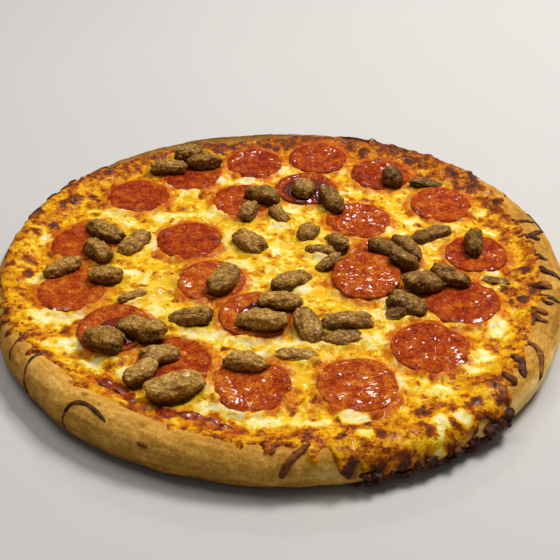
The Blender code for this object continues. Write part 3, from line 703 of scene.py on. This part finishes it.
def add_cheese(finish):
    """The melted cheese: it follows its solid, thins out to a ragged edge on the rim, and is full of blisters."""
    bm = bmesh.new()
    bmesh.ops.create_grid(bm, x_segments=2 * CHEESE_RINGS, y_segments=2 * CHEESE_RINGS, size=1.0)
    piece = new_piece(bm, "cheese_layer", finish, ["cheese"])
    mesh = piece.data
    ring, azimuth = ring_and_azimuth(mesh)
    last_run = FLAT_RADIUS + SLOPE_ARC + RIM_ARC * math.radians(90.0 - CHEESE_LAST_TURN)
    run = ring * last_run
    turn = RIM.turn_of_run(run)
    ground = RIM.surface(azimuth, turn)
    flat = run < FLAT_RADIUS
    ground[flat, 0] = run[flat] * np.cos(azimuth[flat])
    ground[flat, 1] = run[flat] * np.sin(azimuth[flat])
    ground[flat, 2] = MIDDLE_HEIGHT
    solid = tree_of("cheese")
    level = []
    for x, y, z in ground:
        hit = solid.ray_cast(Vector((x, y, 100.0)) * MM, -UP)[0] if z > 10.0 else None
        level.append(hit.z / MM if hit else -1.0)
    level = np.array(level)
    inside = RIM.edge_run(azimuth, ground) - run
    thick = np.where(level > 0.0, level - ground[:, 2], 1.0)
    side = 2 * CHEESE_RINGS + 1
    order = np.lexsort((np.round(places(mesh)[:, 0], 6), np.round(places(mesh)[:, 1], 6)))
    table = thick[order].reshape(side, side)
    for _ in range(8):
        table[1:-1, 1:-1] = (
            table[1:-1, 1:-1] * 2.0 + table[:-2, 1:-1] + table[2:, 1:-1] + table[1:-1, :-2] + table[1:-1, 2:]
        ) / 6.0
    thick[order] = table.ravel()
    edge = np.where(inside > 0.0, 1.1 * np.sqrt(np.maximum(inside, 0.0) / 1.5), -0.8)
    thick = np.minimum(thick, edge)

    x = ground[:, 0] + 1.6 * ripple(ground, 5.0, 3) + 0.8 * ripple(ground, 2.2, 4)
    y = ground[:, 1] + 1.6 * ripple(ground, 5.0, 5) + 0.8 * ripple(ground, 2.2, 6)
    ragged_x = x + 2.2 * ripple(ground, 5.0, 16) + 1.2 * ripple(ground, 2.2, 17)
    ragged_y = y + 2.2 * ripple(ground, 5.0, 18) + 1.2 * ripple(ground, 2.2, 19)
    radius = np.hypot(ground[:, 0], ground[:, 1])
    pale = spots(ragged_x, ragged_y, PALE, 1.2)
    fat = spots(x, y, FAT_POOLS)
    clear = 1.0 - 0.8 * np.maximum(pale, fat)
    slices = slice_places()
    halo = np.zeros_like(x)
    swell = np.zeros_like(x)
    ripple_here = ripple(ground, 7.0, 24)
    for slice_x, slice_y, slice_radius in slices:
        away = np.hypot(x - slice_x, y - slice_y) - slice_radius
        away_ragged = away + 1.5 * ripple_here
        halo = np.maximum(halo, 1.0 - smooth(0.8, 5.5, away_ragged))
        swell = np.maximum(swell, smooth(-3.5, -0.6, away) * (1.0 - smooth(0.3, 5.0, away)))
    for row in (row for rows in SAUSAGE for row in rows):
        away = beyond_lump(row, x, y)
        swell = np.maximum(swell, 0.9 * smooth(-3.0, -0.5, away) * (1.0 - smooth(0.3, 3.2, away)))
        fat = np.maximum(fat, 0.55 * (1.0 - smooth(0.0, 2.2, away + 0.8 * ripple_here)))
    sauce = points_of("sauce")
    beside_sauce = np.full_like(x, 100.0)
    for sauce_x, sauce_y, _ in sauce:
        beside_sauce = np.minimum(beside_sauce, np.hypot(x - sauce_x, y - sauce_y))
    halo = np.maximum(halo, 0.9 * (1.0 - smooth(1.0, 9.0, beside_sauce)) * (0.7 + 0.8 * ripple(ground, 4.0, 10)))
    halo = halo * clear
    outward = smooth(95.0, 145.0, radius)
    back = np.maximum(np.sin(azimuth), 0.0) ** 2 * smooth(108.0, 140.0, radius)
    right = smooth(-60.0, 110.0, ground[:, 0])
    baked = 0.17 + 0.15 * ripple(ground, 13.0, 7) + (0.12 + 0.09 * right) * outward + 0.38 * back
    baked = baked * (1.0 - pale) + 0.03 * pale
    baked = baked + 0.08 * (1.0 - smooth(0.0, 6.0, inside)) + 0.22 * (1.0 - smooth(1.0, 5.0, beside_sauce))

    draw = np.random.default_rng(BLISTER_SEED)
    lift = np.zeros_like(x)
    for _ in range(BLISTERS):
        spot_radius = 150.0 * math.sqrt(draw.uniform(0.0, 1.0))
        angle = draw.uniform(0.0, 2.0 * math.pi)
        size = draw.uniform(1.6, 3.4) + (0.8 if spot_radius > 110.0 else 0.0)
        colour = 0.08 + 0.46 * draw.uniform(0.0, 1.0) ** 2 + 0.08 * smooth(90.0, 140.0, spot_radius)
        away = np.hypot(x - spot_radius * math.cos(angle), y - spot_radius * math.sin(angle))
        near = away < size * 1.5
        share = away[near] / size
        lift[near] = np.maximum(lift[near], (1.0 - smooth(0.2, 1.0, share)) * size * 0.24)
        ring = (1.0 - smooth(0.55, 1.1, share)) * (0.55 + 0.45 * smooth(0.1, 0.6, share))
        baked[near] += colour * ring * (1.0 - 0.7 * pale[near])
    limit = 0.44 + 0.22 * back
    baked = np.minimum(baked, limit + 0.45 * (baked - limit))
    for spot_x, spot_y, size, dark in SCORCHED:
        away = np.hypot(ragged_x - spot_x, ragged_y - spot_y) / size
        hit = (1.0 - smooth(0.25, 1.05, away)) * dark
        baked = np.maximum(baked, hit)
        lift = lift + 0.35 * hit
    for azimuth_degrees, width, _, dark in DRIPS:
        away = (np.degrees(azimuth) - azimuth_degrees + 180.0) % 360.0 - 180.0
        across = np.exp(-((np.radians(away) * 150.0 / (width * 0.9)) ** 4))
        tip = 1.0 - smooth(3.0, 7.0, inside + 1.5 * ripple_here)
        baked = np.maximum(baked, dark * across * tip * (0.92 + 0.25 * ripple_here))
    over_rim = 1.0 - smooth(10.0, 65.0, turn)
    fringe = np.exp(-(((np.degrees(azimuth) % 360.0 - FRINGE_AZIMUTH) / FRINGE_SPREAD) ** 4))
    baked = baked + 0.10 * over_rim + fringe * over_rim * (0.02 + 0.42 * (1.0 - smooth(0.0, 4.5, inside)))
    lift = lift + 0.65 * ripple(ground, 5.0, 8) + 0.35 * ripple(ground, 2.4, 9) + 0.6 * pale
    lift = lift * smooth(0.0, 1.2, thick)
    lift = lift + swell * (1.5 + 1.3 * ripple(ground, 6.0, 20)) - 0.2 * fat * (1.0 - swell)
    bend = np.radians(np.clip(turn, 0.0, 90.0))
    out = thick + lift
    points = ground.copy()
    points[:, 0] += out * np.cos(bend) * np.cos(azimuth)
    points[:, 1] += out * np.cos(bend) * np.sin(azimuth)
    points[:, 2] += out * np.sin(bend)
    put(mesh, points)
    mark(mesh, "baked", baked)
    mark(mesh, "red", halo * (0.90 + 0.7 * ripple(ground, 5.0, 23)))
    mark(mesh, "fat", fat * (1.0 - 0.6 * halo))
    return piece


def add_crust(finish):
    """The dough: a section spun round, puffed, dimpled and wrinkled, with stains beside the cheese."""
    turns = [180.0, 165.0, 150.0, 135.0, 125.0, 115.0] + list(np.linspace(108.0, -84.0, 52))
    shares = [1.0] * len(turns)
    turns = [180.0, 180.0] + turns
    shares = [0.25, 0.7] + shares
    foot_shares = [1.0, 0.97, 0.85, 0.6, 0.25]
    count = len(turns) + len(foot_shares)
    bm = bmesh.new()
    row = [bm.verts.new((1.0 + index, 0.0, 0.0)) for index in range(count)]
    edges = [bm.edges.new(pair) for pair in zip(row, row[1:])]
    bmesh.ops.spin(
        bm, geom=row + edges, cent=(0.0, 0.0, 0.0), axis=(0.0, 0.0, 1.0), angle=2.0 * math.pi, steps=RIM_STEPS,
        use_merge=True,
    )
    bmesh.ops.holes_fill(bm, edges=[edge for edge in bm.edges if edge.is_boundary], sides=0)
    piece = new_piece(bm, "crust_dough", finish, ["crust"])
    mesh = piece.data
    spun = places(mesh)
    azimuth = np.arctan2(spun[:, 1], spun[:, 0])
    index = np.round(np.hypot(spun[:, 0], spun[:, 1]) - 1.0).astype(int)
    under = index >= len(turns)
    turn = np.array(turns + [-90.0] * len(foot_shares))[index]
    share = np.array(shares + foot_shares)[index]
    smooth_points = RIM.surface(azimuth, turn)
    lumps = 0.55 * ripple(smooth_points, 16.0, 11) + 0.35 * ripple(smooth_points, 6.0, 12)
    lumps = lumps + 0.16 * ripple(smooth_points, 2.4, 13, 3)
    pores = cells(smooth_points, 5.0, 1)
    lumps = lumps - 0.22 * (1.0 - smooth(0.0, 0.35, pores)) * smooth(40.0, 120.0, turn + 60.0)
    lumps = lumps * smooth(-84.0, -50.0, turn)
    points = RIM.surface(azimuth, turn, lumps)
    foot = RIM.centre(azimuth) - FOOT_INSET
    flat_radius = np.where(under, foot * share, FLAT_RADIUS * share)
    flat = under | (share < 1.0)
    points[flat, 0] = (flat_radius * np.cos(azimuth))[flat]
    points[flat, 1] = (flat_radius * np.sin(azimuth))[flat]
    points[flat, 2] = np.where(under, 0.0, MIDDLE_HEIGHT - 0.5)[flat]
    put(mesh, points)
    past = RIM.run_of_turn(turn) - RIM.edge_run(azimuth, smooth_points)
    stain = (1.0 - smooth(-1.0, 7.0, past)) * (0.55 + 0.6 * ripple(smooth_points, 7.0, 14))
    # Darker from the outer side down to the foot: browning, deepened with painted shade at the foot.
    toast_and_shade = 0.35 + 0.36 * (1.0 - smooth(-60.0, 20.0, turn)) + 0.44 * (1.0 - smooth(-84.0, -34.0, turn))
    # Painted shade on the left front.
    shaded_left_front = np.maximum(np.cos(azimuth - math.radians(222.0)), 0.0) ** 4
    toast_and_shade = toast_and_shade + 0.10 * shaded_left_front * (1.0 - smooth(0.0, 70.0, turn))
    # Painted light: paler low down at the front right.
    lit_low_right = np.maximum(np.cos(azimuth - math.radians(318.0)), 0.0) ** 5
    toast_and_shade = toast_and_shade - 0.58 * lit_low_right * smooth(-88.0, -40.0, turn) * (1.0 - smooth(0.0, 55.0, turn))
    toast_and_shade = toast_and_shade + 0.05 * np.maximum(np.cos(azimuth - math.radians(352.0)), 0.0) ** 2 * smooth(0.0, 50.0, turn)
    toast_and_shade = toast_and_shade + 0.38 * np.maximum(np.cos(azimuth - math.radians(100.0)), 0.0) ** 2
    streaks = np.stack([np.cos(azimuth) * 12.0, np.sin(azimuth) * 12.0, RIM.run_of_turn(turn) / 1.8], axis=-1)
    toast_and_shade = toast_and_shade + 0.08 * ripple(smooth_points, 22.0, 15) + 0.13 * ripple(streaks, 1.0, 16)
    toast_and_shade = np.where(under, 0.68, toast_and_shade)
    for spot_x, spot_y, size, dark in SCORCHED:
        away = np.hypot(points[:, 0] - spot_x, points[:, 1] - spot_y) / size
        toast_and_shade = np.maximum(toast_and_shade, (1.0 - smooth(0.2, 1.1, away)) * dark * 0.9 * (points[:, 2] > 8.0))
    mark(mesh, "toast_and_shade", toast_and_shade)
    mark(mesh, "stain", stain)
    return piece


def add_slice(node, index, finish):
    """A slice of pepperoni: a thin disc on its solid, cupped, bumpy and crisp at the edge."""
    solid = points_of(node)
    low, high = solid.min(axis=0), solid.max(axis=0)
    middle = (low + high) / 2.0
    away = solid - solid.mean(axis=0)
    normal = np.linalg.svd(away, full_matrices=False)[2][2]
    normal = normal * np.sign(normal[2])
    rise = away @ normal
    outer = np.hypot(away[:, 0], away[:, 1]) > 0.9 * np.hypot(away[:, 0], away[:, 1]).max() * 0.93
    azimuths = np.degrees(np.arctan2(away[outer, 1], away[outer, 0])) % 360.0
    reach = np.hypot(away[outer, 0], away[outer, 1])
    order = np.argsort(azimuths)
    bm = bmesh.new()
    bmesh.ops.create_grid(bm, x_segments=46, y_segments=46, size=1.0)
    bmesh.ops.solidify(bm, geom=bm.faces[:], thickness=-0.02)
    bmesh.ops.recalc_face_normals(bm, faces=bm.faces[:])
    piece = new_piece(bm, f"{node}_slice", finish, [node])
    mesh = piece.data
    square = places(mesh)
    is_top = square[:, 2] > square[:, 2].mean()
    ring, azimuth = ring_and_azimuth(mesh)
    radius = np.interp(np.degrees(azimuth) % 360.0, azimuths[order], reach[order], period=360.0)
    ragged = np.stack([12.0 * np.cos(azimuth), 12.0 * np.sin(azimuth), np.full_like(ring, index * 30.0)], axis=-1)
    radius = radius * (0.965 + 0.05 * ripple(ragged, 5.0, 6))
    flat_x = ring * radius * np.cos(azimuth)
    flat_y = ring * radius * np.sin(azimuth)
    seeds = np.stack([flat_x, flat_y, np.full_like(flat_x, index * 40.0)], axis=-1)
    thickness = 1.8
    cup = max(0.25, rise.max() - rise.min() - thickness)
    relief = 0.14 * ripple(seeds, 5.0, 1) + 0.22 * (cells(seeds, 2.4, 2) - 0.5) + 0.16 * ripple(seeds, 1.5, 3)
    wave = 0.5 * ripple(seeds, 14.0, 4) * ring**2
    top = thickness + cup * ring**3 + relief * (1.0 - 0.5 * ring**8) + wave - 1.1 * smooth(0.84, 1.0, ring)
    bottom = 0.6 * cup * smooth(0.6, 1.0, ring) + np.minimum(wave, 0.0)
    height = np.where(is_top, top, bottom)
    tilt_x, tilt_y = -normal[0] / normal[2], -normal[1] / normal[2]
    floor = middle[2] + (rise.min() if abs(tilt_x) + abs(tilt_y) > 0.02 else low[2] - middle[2])
    level = floor - SLICE_SINK + height + flat_x * tilt_x + flat_y * tilt_y
    points = np.stack([middle[0] + flat_x, middle[1] + flat_y, level], -1)
    put(mesh, points)
    draw = np.random.default_rng(100 + index)
    crisp = 0.25 + 0.3 * max(0.0, cup - 1.0)
    mark(mesh, "browned", smooth(0.84, 1.0, ring) * (crisp + 0.35 * ripple(seeds, 6.0, 5)))
    nearness = 1.0 - float(smooth(-40.0, 90.0, middle[1]))
    mark(mesh, "tone", np.full_like(ring, draw.uniform(0.0, 0.12) + 0.14 * nearness))
    return piece


def add_lump(bm, row, seed, node_tree, node_top):
    """One blunt lump of sausage. It reaches the height that its solid has here."""
    x, y, length, width, height, azimuth = row
    along = np.array([math.cos(math.radians(azimuth)), math.sin(math.radians(azimuth))])
    across = np.array([-along[1], along[0]])

    def top_at(share):
        spot = np.array([x, y]) + along * share * length / 2.0
        hit = node_tree.ray_cast(Vector((*spot, 100.0)) * MM, -UP)[0]
        return hit.z / MM if hit else node_top

    slant = (top_at(0.45) - top_at(-0.45)) / 0.9
    slant = max(-height * 0.4, min(height * 0.4, slant))
    middle = top_at(0.0)
    made = bmesh.ops.create_icosphere(bm, subdivisions=5, radius=1.0)["verts"]
    ball = np.array([vertex.co for vertex in made])
    shift = np.array([seed * 11.0, x, y])
    swollen = 1.0 + 0.16 * ripple(ball + shift, 0.70, 21)[:, None] + 0.08 * ripple(ball + shift, 0.33, 22)[:, None]
    corner = (np.abs(ball) ** SAUSAGE_BLUNTNESS).sum(axis=1, keepdims=True) ** (1.0 / SAUSAGE_BLUNTNESS)
    blunt = ball / corner * swollen
    rise = (blunt[:, 2] + SAUSAGE_SINK) / (1.0 + SAUSAGE_SINK)
    bend = 0.12 * math.sin(seed * 2.4)
    u = blunt[:, 0] * length * SAUSAGE_SHRINK / 2.0
    v = (blunt[:, 1] + bend * blunt[:, 0] ** 2) * width * SAUSAGE_SHRINK / 2.0
    level = middle - SAUSAGE_LOWER + slant * blunt[:, 0] - 0.95 * height * (1.0 - rise)
    points = np.stack([x + along[0] * u + across[0] * v, y + along[1] * u + across[1] * v, level], axis=-1)
    for vertex, point in zip(made, points):
        vertex.co = Vector(point) * MM
    return rise


def add_sausage(node, index, finish):
    """A node of sausage: its lumps, grained like ground meat."""
    tree = tree_of(node)
    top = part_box(node)[1].z / MM
    bm = bmesh.new()
    rises = [add_lump(bm, row, index + 0.37 * place, tree, top) for place, row in enumerate(SAUSAGE[index])]
    rise = np.concatenate(rises)
    near_other = []
    for place, row in enumerate(SAUSAGE[index]):
        start = sum(len(found) for found in rises[:place])
        spots_here = np.array([bm_vertex.co for bm_vertex in list(bm.verts)[start:start + len(rises[place])]]) / MM
        closest = np.full(len(rises[place]), 10.0)
        for other in (lump for lumps in SAUSAGE for lump in lumps if lump is not row):
            closest = np.minimum(closest, beyond_lump(other, spots_here[:, 0], spots_here[:, 1]))
        near_other.append(1.0 - smooth(-2.0, 0.6, closest))
    near_other = np.concatenate(near_other)
    shade = np.concatenate([np.full(len(found), lump_shade(row)) for found, row in zip(rises, SAUSAGE[index])])
    bm.normal_update()
    normals = np.array([vertex.normal for vertex in bm.verts])
    piece = new_piece(bm, f"{node}_meat", finish, [node])
    mesh = piece.data
    points = places(mesh) / MM
    grain = cells(points, 2.2, 3)
    small = cells(points, 1.1, 4)
    push = 0.55 * ripple(points, 3.6, 25) + 0.36 * (grain - 0.6) + 0.20 * (small - 0.5)
    put(mesh, points + normals * push[:, None])
    # Painted shade: the crevices between grains are darkened.
    mark(mesh, "pit_shade", 1.0 - smooth(0.05, 0.5, grain))
    # Painted shade: dark low on each lump and where it meets another lump, partly a dark wet rim of oil.
    mark(mesh, "low", np.maximum(1.0 - smooth(0.10, 0.50, rise), 0.75 * near_other * (1.0 - smooth(0.75, 1.0, rise))))
    # Painted light and shade: each lump's tone, made paler on its top and darker down its sides.
    mark(mesh, "shade", 0.3 + shade - 0.28 * smooth(0.60, 0.98, rise) - 0.14 * smooth(0.3, 0.7, rise))
    return piece


def lump_shade(row):
    """How dark a lump is: those to the right and the back are the darkest."""
    x, y, _, _, _, azimuth = row
    front = 1.0 - float(smooth(-100.0, -70.0, y))
    across = 0.36 * float(smooth(0.0, 70.0, x)) + 0.14 * float(smooth(0.0, 90.0, y))
    return 0.30 - 0.42 * front + across + 0.10 * math.sin(azimuth)


def add_sauce(finish):
    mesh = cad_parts["sauce"].data.copy()
    rough = bpy.data.objects.new("sauce_rough", mesh)
    bpy.context.scene.collection.objects.link(rough)
    remesh = rough.modifiers.new("even", "REMESH")
    remesh.mode = "VOXEL"
    remesh.voxel_size = 0.45 * MM
    graph = bpy.context.evaluated_depsgraph_get()
    even = bpy.data.meshes.new_from_object(rough.evaluated_get(graph))
    bpy.data.objects.remove(rough)
    bm = bmesh.new()
    bm.from_mesh(even)
    for _ in range(4):
        bmesh.ops.smooth_vert(bm, verts=bm.verts[:], factor=0.5, use_axis_x=True, use_axis_y=True, use_axis_z=True)
    bm.normal_update()
    normals = np.array([vertex.normal for vertex in bm.verts])
    piece = new_piece(bm, "sauce_streak", finish, ["sauce"])
    points = places(piece.data) / MM
    push = 0.9 + 3.0 * ripple(points, 6.0, 31) + 1.6 * ripple(points, 2.6, 32)
    floor = points[:, 2].min()
    points = points + normals * push[:, None] * np.array([1.0, 1.0, 0.2])
    points[:, 2] = floor - 0.5 + (points[:, 2] - floor) * 0.26 + 0.9 * ripple(points, 5.0, 33)
    put(piece.data, points)
    return piece


def add_oil(node, height, shift_x, shift_y, share, finish):
    """A pool of oil in a cupped slice."""
    low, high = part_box(node)
    middle = (low + high) / 2.0 / MM
    bm = bmesh.new()
    bmesh.ops.create_grid(bm, x_segments=40, y_segments=40, size=1.0)
    bmesh.ops.solidify(bm, geom=bm.faces[:], thickness=-0.02)
    bmesh.ops.recalc_face_normals(bm, faces=bm.faces[:])
    piece = new_piece(bm, f"{node}_oil", finish)
    mesh = piece.data
    is_top = places(mesh)[:, 2] > places(mesh)[:, 2].mean()
    ring, azimuth = ring_and_azimuth(mesh)
    radius = (high.x - low.x) / MM * share / 2.0
    x = middle.x + shift_x + ring * radius * np.cos(azimuth)
    y = middle.y + shift_y + ring * radius * np.sin(azimuth)
    seeds = np.stack([x, y, np.zeros_like(x)], axis=-1)
    level = low.z / MM + 1.8 - SLICE_SINK + height + 0.22 * ripple(seeds, 8.0, 41) - 0.4 * smooth(0.9, 1.0, ring)
    for row in (row for rows in SAUSAGE for row in rows):
        away = beyond_lump(row, x, y)
        level = level + 0.9 * smooth(-1.0, 0.0, away) * (1.0 - smooth(0.0, 1.6, away))
    put(mesh, np.stack([x, y, np.where(is_top, level, level - 0.6)], axis=-1))
    return piece


def add_strands(finish):
    """Burnt strands of cheese on the rim: blunt, knobbly strips along their paths."""
    bm = bmesh.new()
    sides = 10
    steps = 22
    for number, (azimuths, turns, half, arch, _) in enumerate(STRANDS):
        t = np.linspace(0.0, 1.0, steps)
        weights = ((1.0 - t) ** 2, 2.0 * t * (1.0 - t), t * t)
        azimuth = sum(weight * value for weight, value in zip(weights, azimuths))
        turn = sum(weight * value for weight, value in zip(weights, turns))
        seeds = np.stack([t * 9.0, np.full_like(t, number * 9.0), np.zeros_like(t)], axis=-1)
        blunt = np.sqrt(np.maximum(1.0 - np.abs(2.0 * t - 1.0) ** 5, 0.06))
        thick = half * blunt * (0.95 + 0.35 * ripple(seeds, 3.5, 51))
        azimuth = azimuth + 0.8 * ripple(seeds, 5.0, 52)
        bare = RIM.surface(np.radians(azimuth), turn)
        covered = 1.1 * smooth(-0.5, 3.0, RIM.edge_run(np.radians(azimuth), bare) - RIM.run_of_turn(turn))
        raised = arch * np.sin(np.pi * t) ** 2
        path = RIM.surface(np.radians(azimuth), turn, covered + raised)
        rings = []
        for step in range(steps):
            along = Vector(path[min(step + 1, steps - 1)] - path[max(step - 1, 0)])
            facing = along.to_track_quat("Z", "Y").to_matrix().to_4x4()
            squeeze = Matrix.Diagonal((1.0, STRAND_FLATNESS, 1.0, 1.0))
            matrix = Matrix.Translation(Vector(path[step]) * MM) @ facing @ squeeze
            made = bmesh.ops.create_circle(bm, segments=sides, radius=thick[step] * MM, matrix=matrix)
            rings.append(made["verts"])
        for first, second in zip(rings, rings[1:]):
            edges = [edge for ring in (first, second) for edge in {e for v in ring for e in v.link_edges
                     if e.other_vert(v) in ring}]
            bmesh.ops.bridge_loops(bm, edges=edges)
        for ring in (rings[0], rings[-1]):
            bmesh.ops.contextual_create(bm, geom=ring)
    bmesh.ops.recalc_face_normals(bm, faces=bm.faces[:])
    bm.normal_update()
    normals = np.array([vertex.normal for vertex in bm.verts])
    piece = new_piece(bm, "burnt_strands", finish)
    points = places(piece.data) / MM
    push = 0.22 * ripple(points, 2.2, 53) + 0.15 * ripple(points, 1.0, 54)
    put(piece.data, points + normals * push[:, None])
    mark(piece.data, "char", np.repeat([row[-1] for row in STRANDS], steps * sides) + 0.2 * ripple(points, 4.0, 55))
    return piece


def add_crumbs(finish):
    """Small burnt lumps along the hanging edge of the cheese."""
    draw = np.random.default_rng(5)
    bm = bmesh.new()
    for middle, spread, lowest, highest, count, least, most in CRUMBS:
        for _ in range(count):
            azimuth = math.radians(middle + spread * draw.uniform(-1.0, 1.0))
            turn = draw.uniform(lowest, highest)
            half = least + (most - least) * draw.uniform(0.0, 1.0) ** 1.5
            place = RIM.surface(np.array([azimuth]), np.array([turn]), 0.5)[0]
            squeeze = Matrix.Diagonal((draw.uniform(0.7, 1.4), draw.uniform(0.7, 1.4), draw.uniform(0.6, 1.0), 1.0))
            matrix = Matrix.Translation(Vector(place) * MM) @ squeeze
            bmesh.ops.create_icosphere(bm, subdivisions=3, radius=half * MM, matrix=matrix)
    bm.normal_update()
    normals = np.array([vertex.normal for vertex in bm.verts])
    piece = new_piece(bm, "burnt_crumbs", finish)
    points = places(piece.data) / MM
    push = 0.8 * ripple(points, 1.8, 61) + 0.3 * ripple(points, 0.8, 62)
    put(piece.data, points + normals * push[:, None])
    mark(piece.data, "char", 0.94 + 0.3 * ripple(points, 5.0, 63))
    return piece


def add_stage():
    """A pale floor, soft light from above and behind, and the photo's camera."""
    bm = bmesh.new()
    bmesh.ops.create_grid(bm, x_segments=2, y_segments=2, size=4.0)
    mesh = bpy.data.meshes.new("floor")
    bm.to_mesh(mesh)
    bm.free()
    mesh.materials.append(plain_finish("pale_floor", (0.57, 0.56, 0.55), 0.8))
    floor = bpy.data.objects.new("floor", mesh)
    bpy.context.scene.collection.objects.link(floor)
    for name, place, size, power in (
        ("window", (0.55, 0.40, 1.10), 0.40, 14.5),
        ("ceiling", (-0.35, 0.15, 1.4), 0.8, 6.5),
        ("back", (0.10, 1.15, 0.95), 0.20, 3.0),
    ):
        lamp = bpy.data.lights.new(name, "AREA")
        lamp.size = size
        lamp.energy = power
        lamp.color = (1.0, 0.97, 0.93)
        light = bpy.data.objects.new(name, lamp)
        light.location = place
        light.rotation_euler = (-Vector(place)).to_track_quat("-Z", "Y").to_euler()
        bpy.context.scene.collection.objects.link(light)
    world = bpy.data.worlds.new("studio")
    world.use_nodes = True
    world.node_tree.nodes["Background"].inputs["Color"].default_value = (1.0, 0.97, 0.93, 1.0)
    world.node_tree.nodes["Background"].inputs["Strength"].default_value = 0.12
    scene = bpy.context.scene
    scene.world = world
    scene.view_settings.view_transform = "Standard"
    elevation = math.radians(CAMERA_ELEVATION)
    lens = bpy.data.cameras.new("camera")
    lens.sensor_width = 36.0
    lens.lens = lens.sensor_width * FOCAL_PIXELS / PHOTO_PIXELS
    camera = bpy.data.objects.new("camera", lens)
    camera.location = CAMERA_TARGET + CAMERA_DISTANCE * Vector((0.0, -math.cos(elevation), math.sin(elevation)))
    camera.rotation_euler = (math.pi / 2.0 - elevation, 0.0, 0.0)
    scene.collection.objects.link(camera)
    scene.camera = camera


def main():
    add_stage()
    add_crust(crust_finish())
    add_cheese(cheese_finish())
    meat = pepperoni_finish()
    ground_meat = sausage_finish()
    nodes = sorted(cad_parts)
    for index, node in enumerate(name for name in nodes if name.startswith("pepperoni")):
        add_slice(node, index, meat)
    for index, node in enumerate(name for name in nodes if name.startswith("sausage")):
        add_sausage(node, index, ground_meat)
    add_sauce(sauce_finish())
    oil = oil_finish()
    for pool in OIL_POOLS:
        add_oil(*pool, oil)
    burnt = burnt_finish()
    add_strands(burnt)
    add_crumbs(burnt)


main()
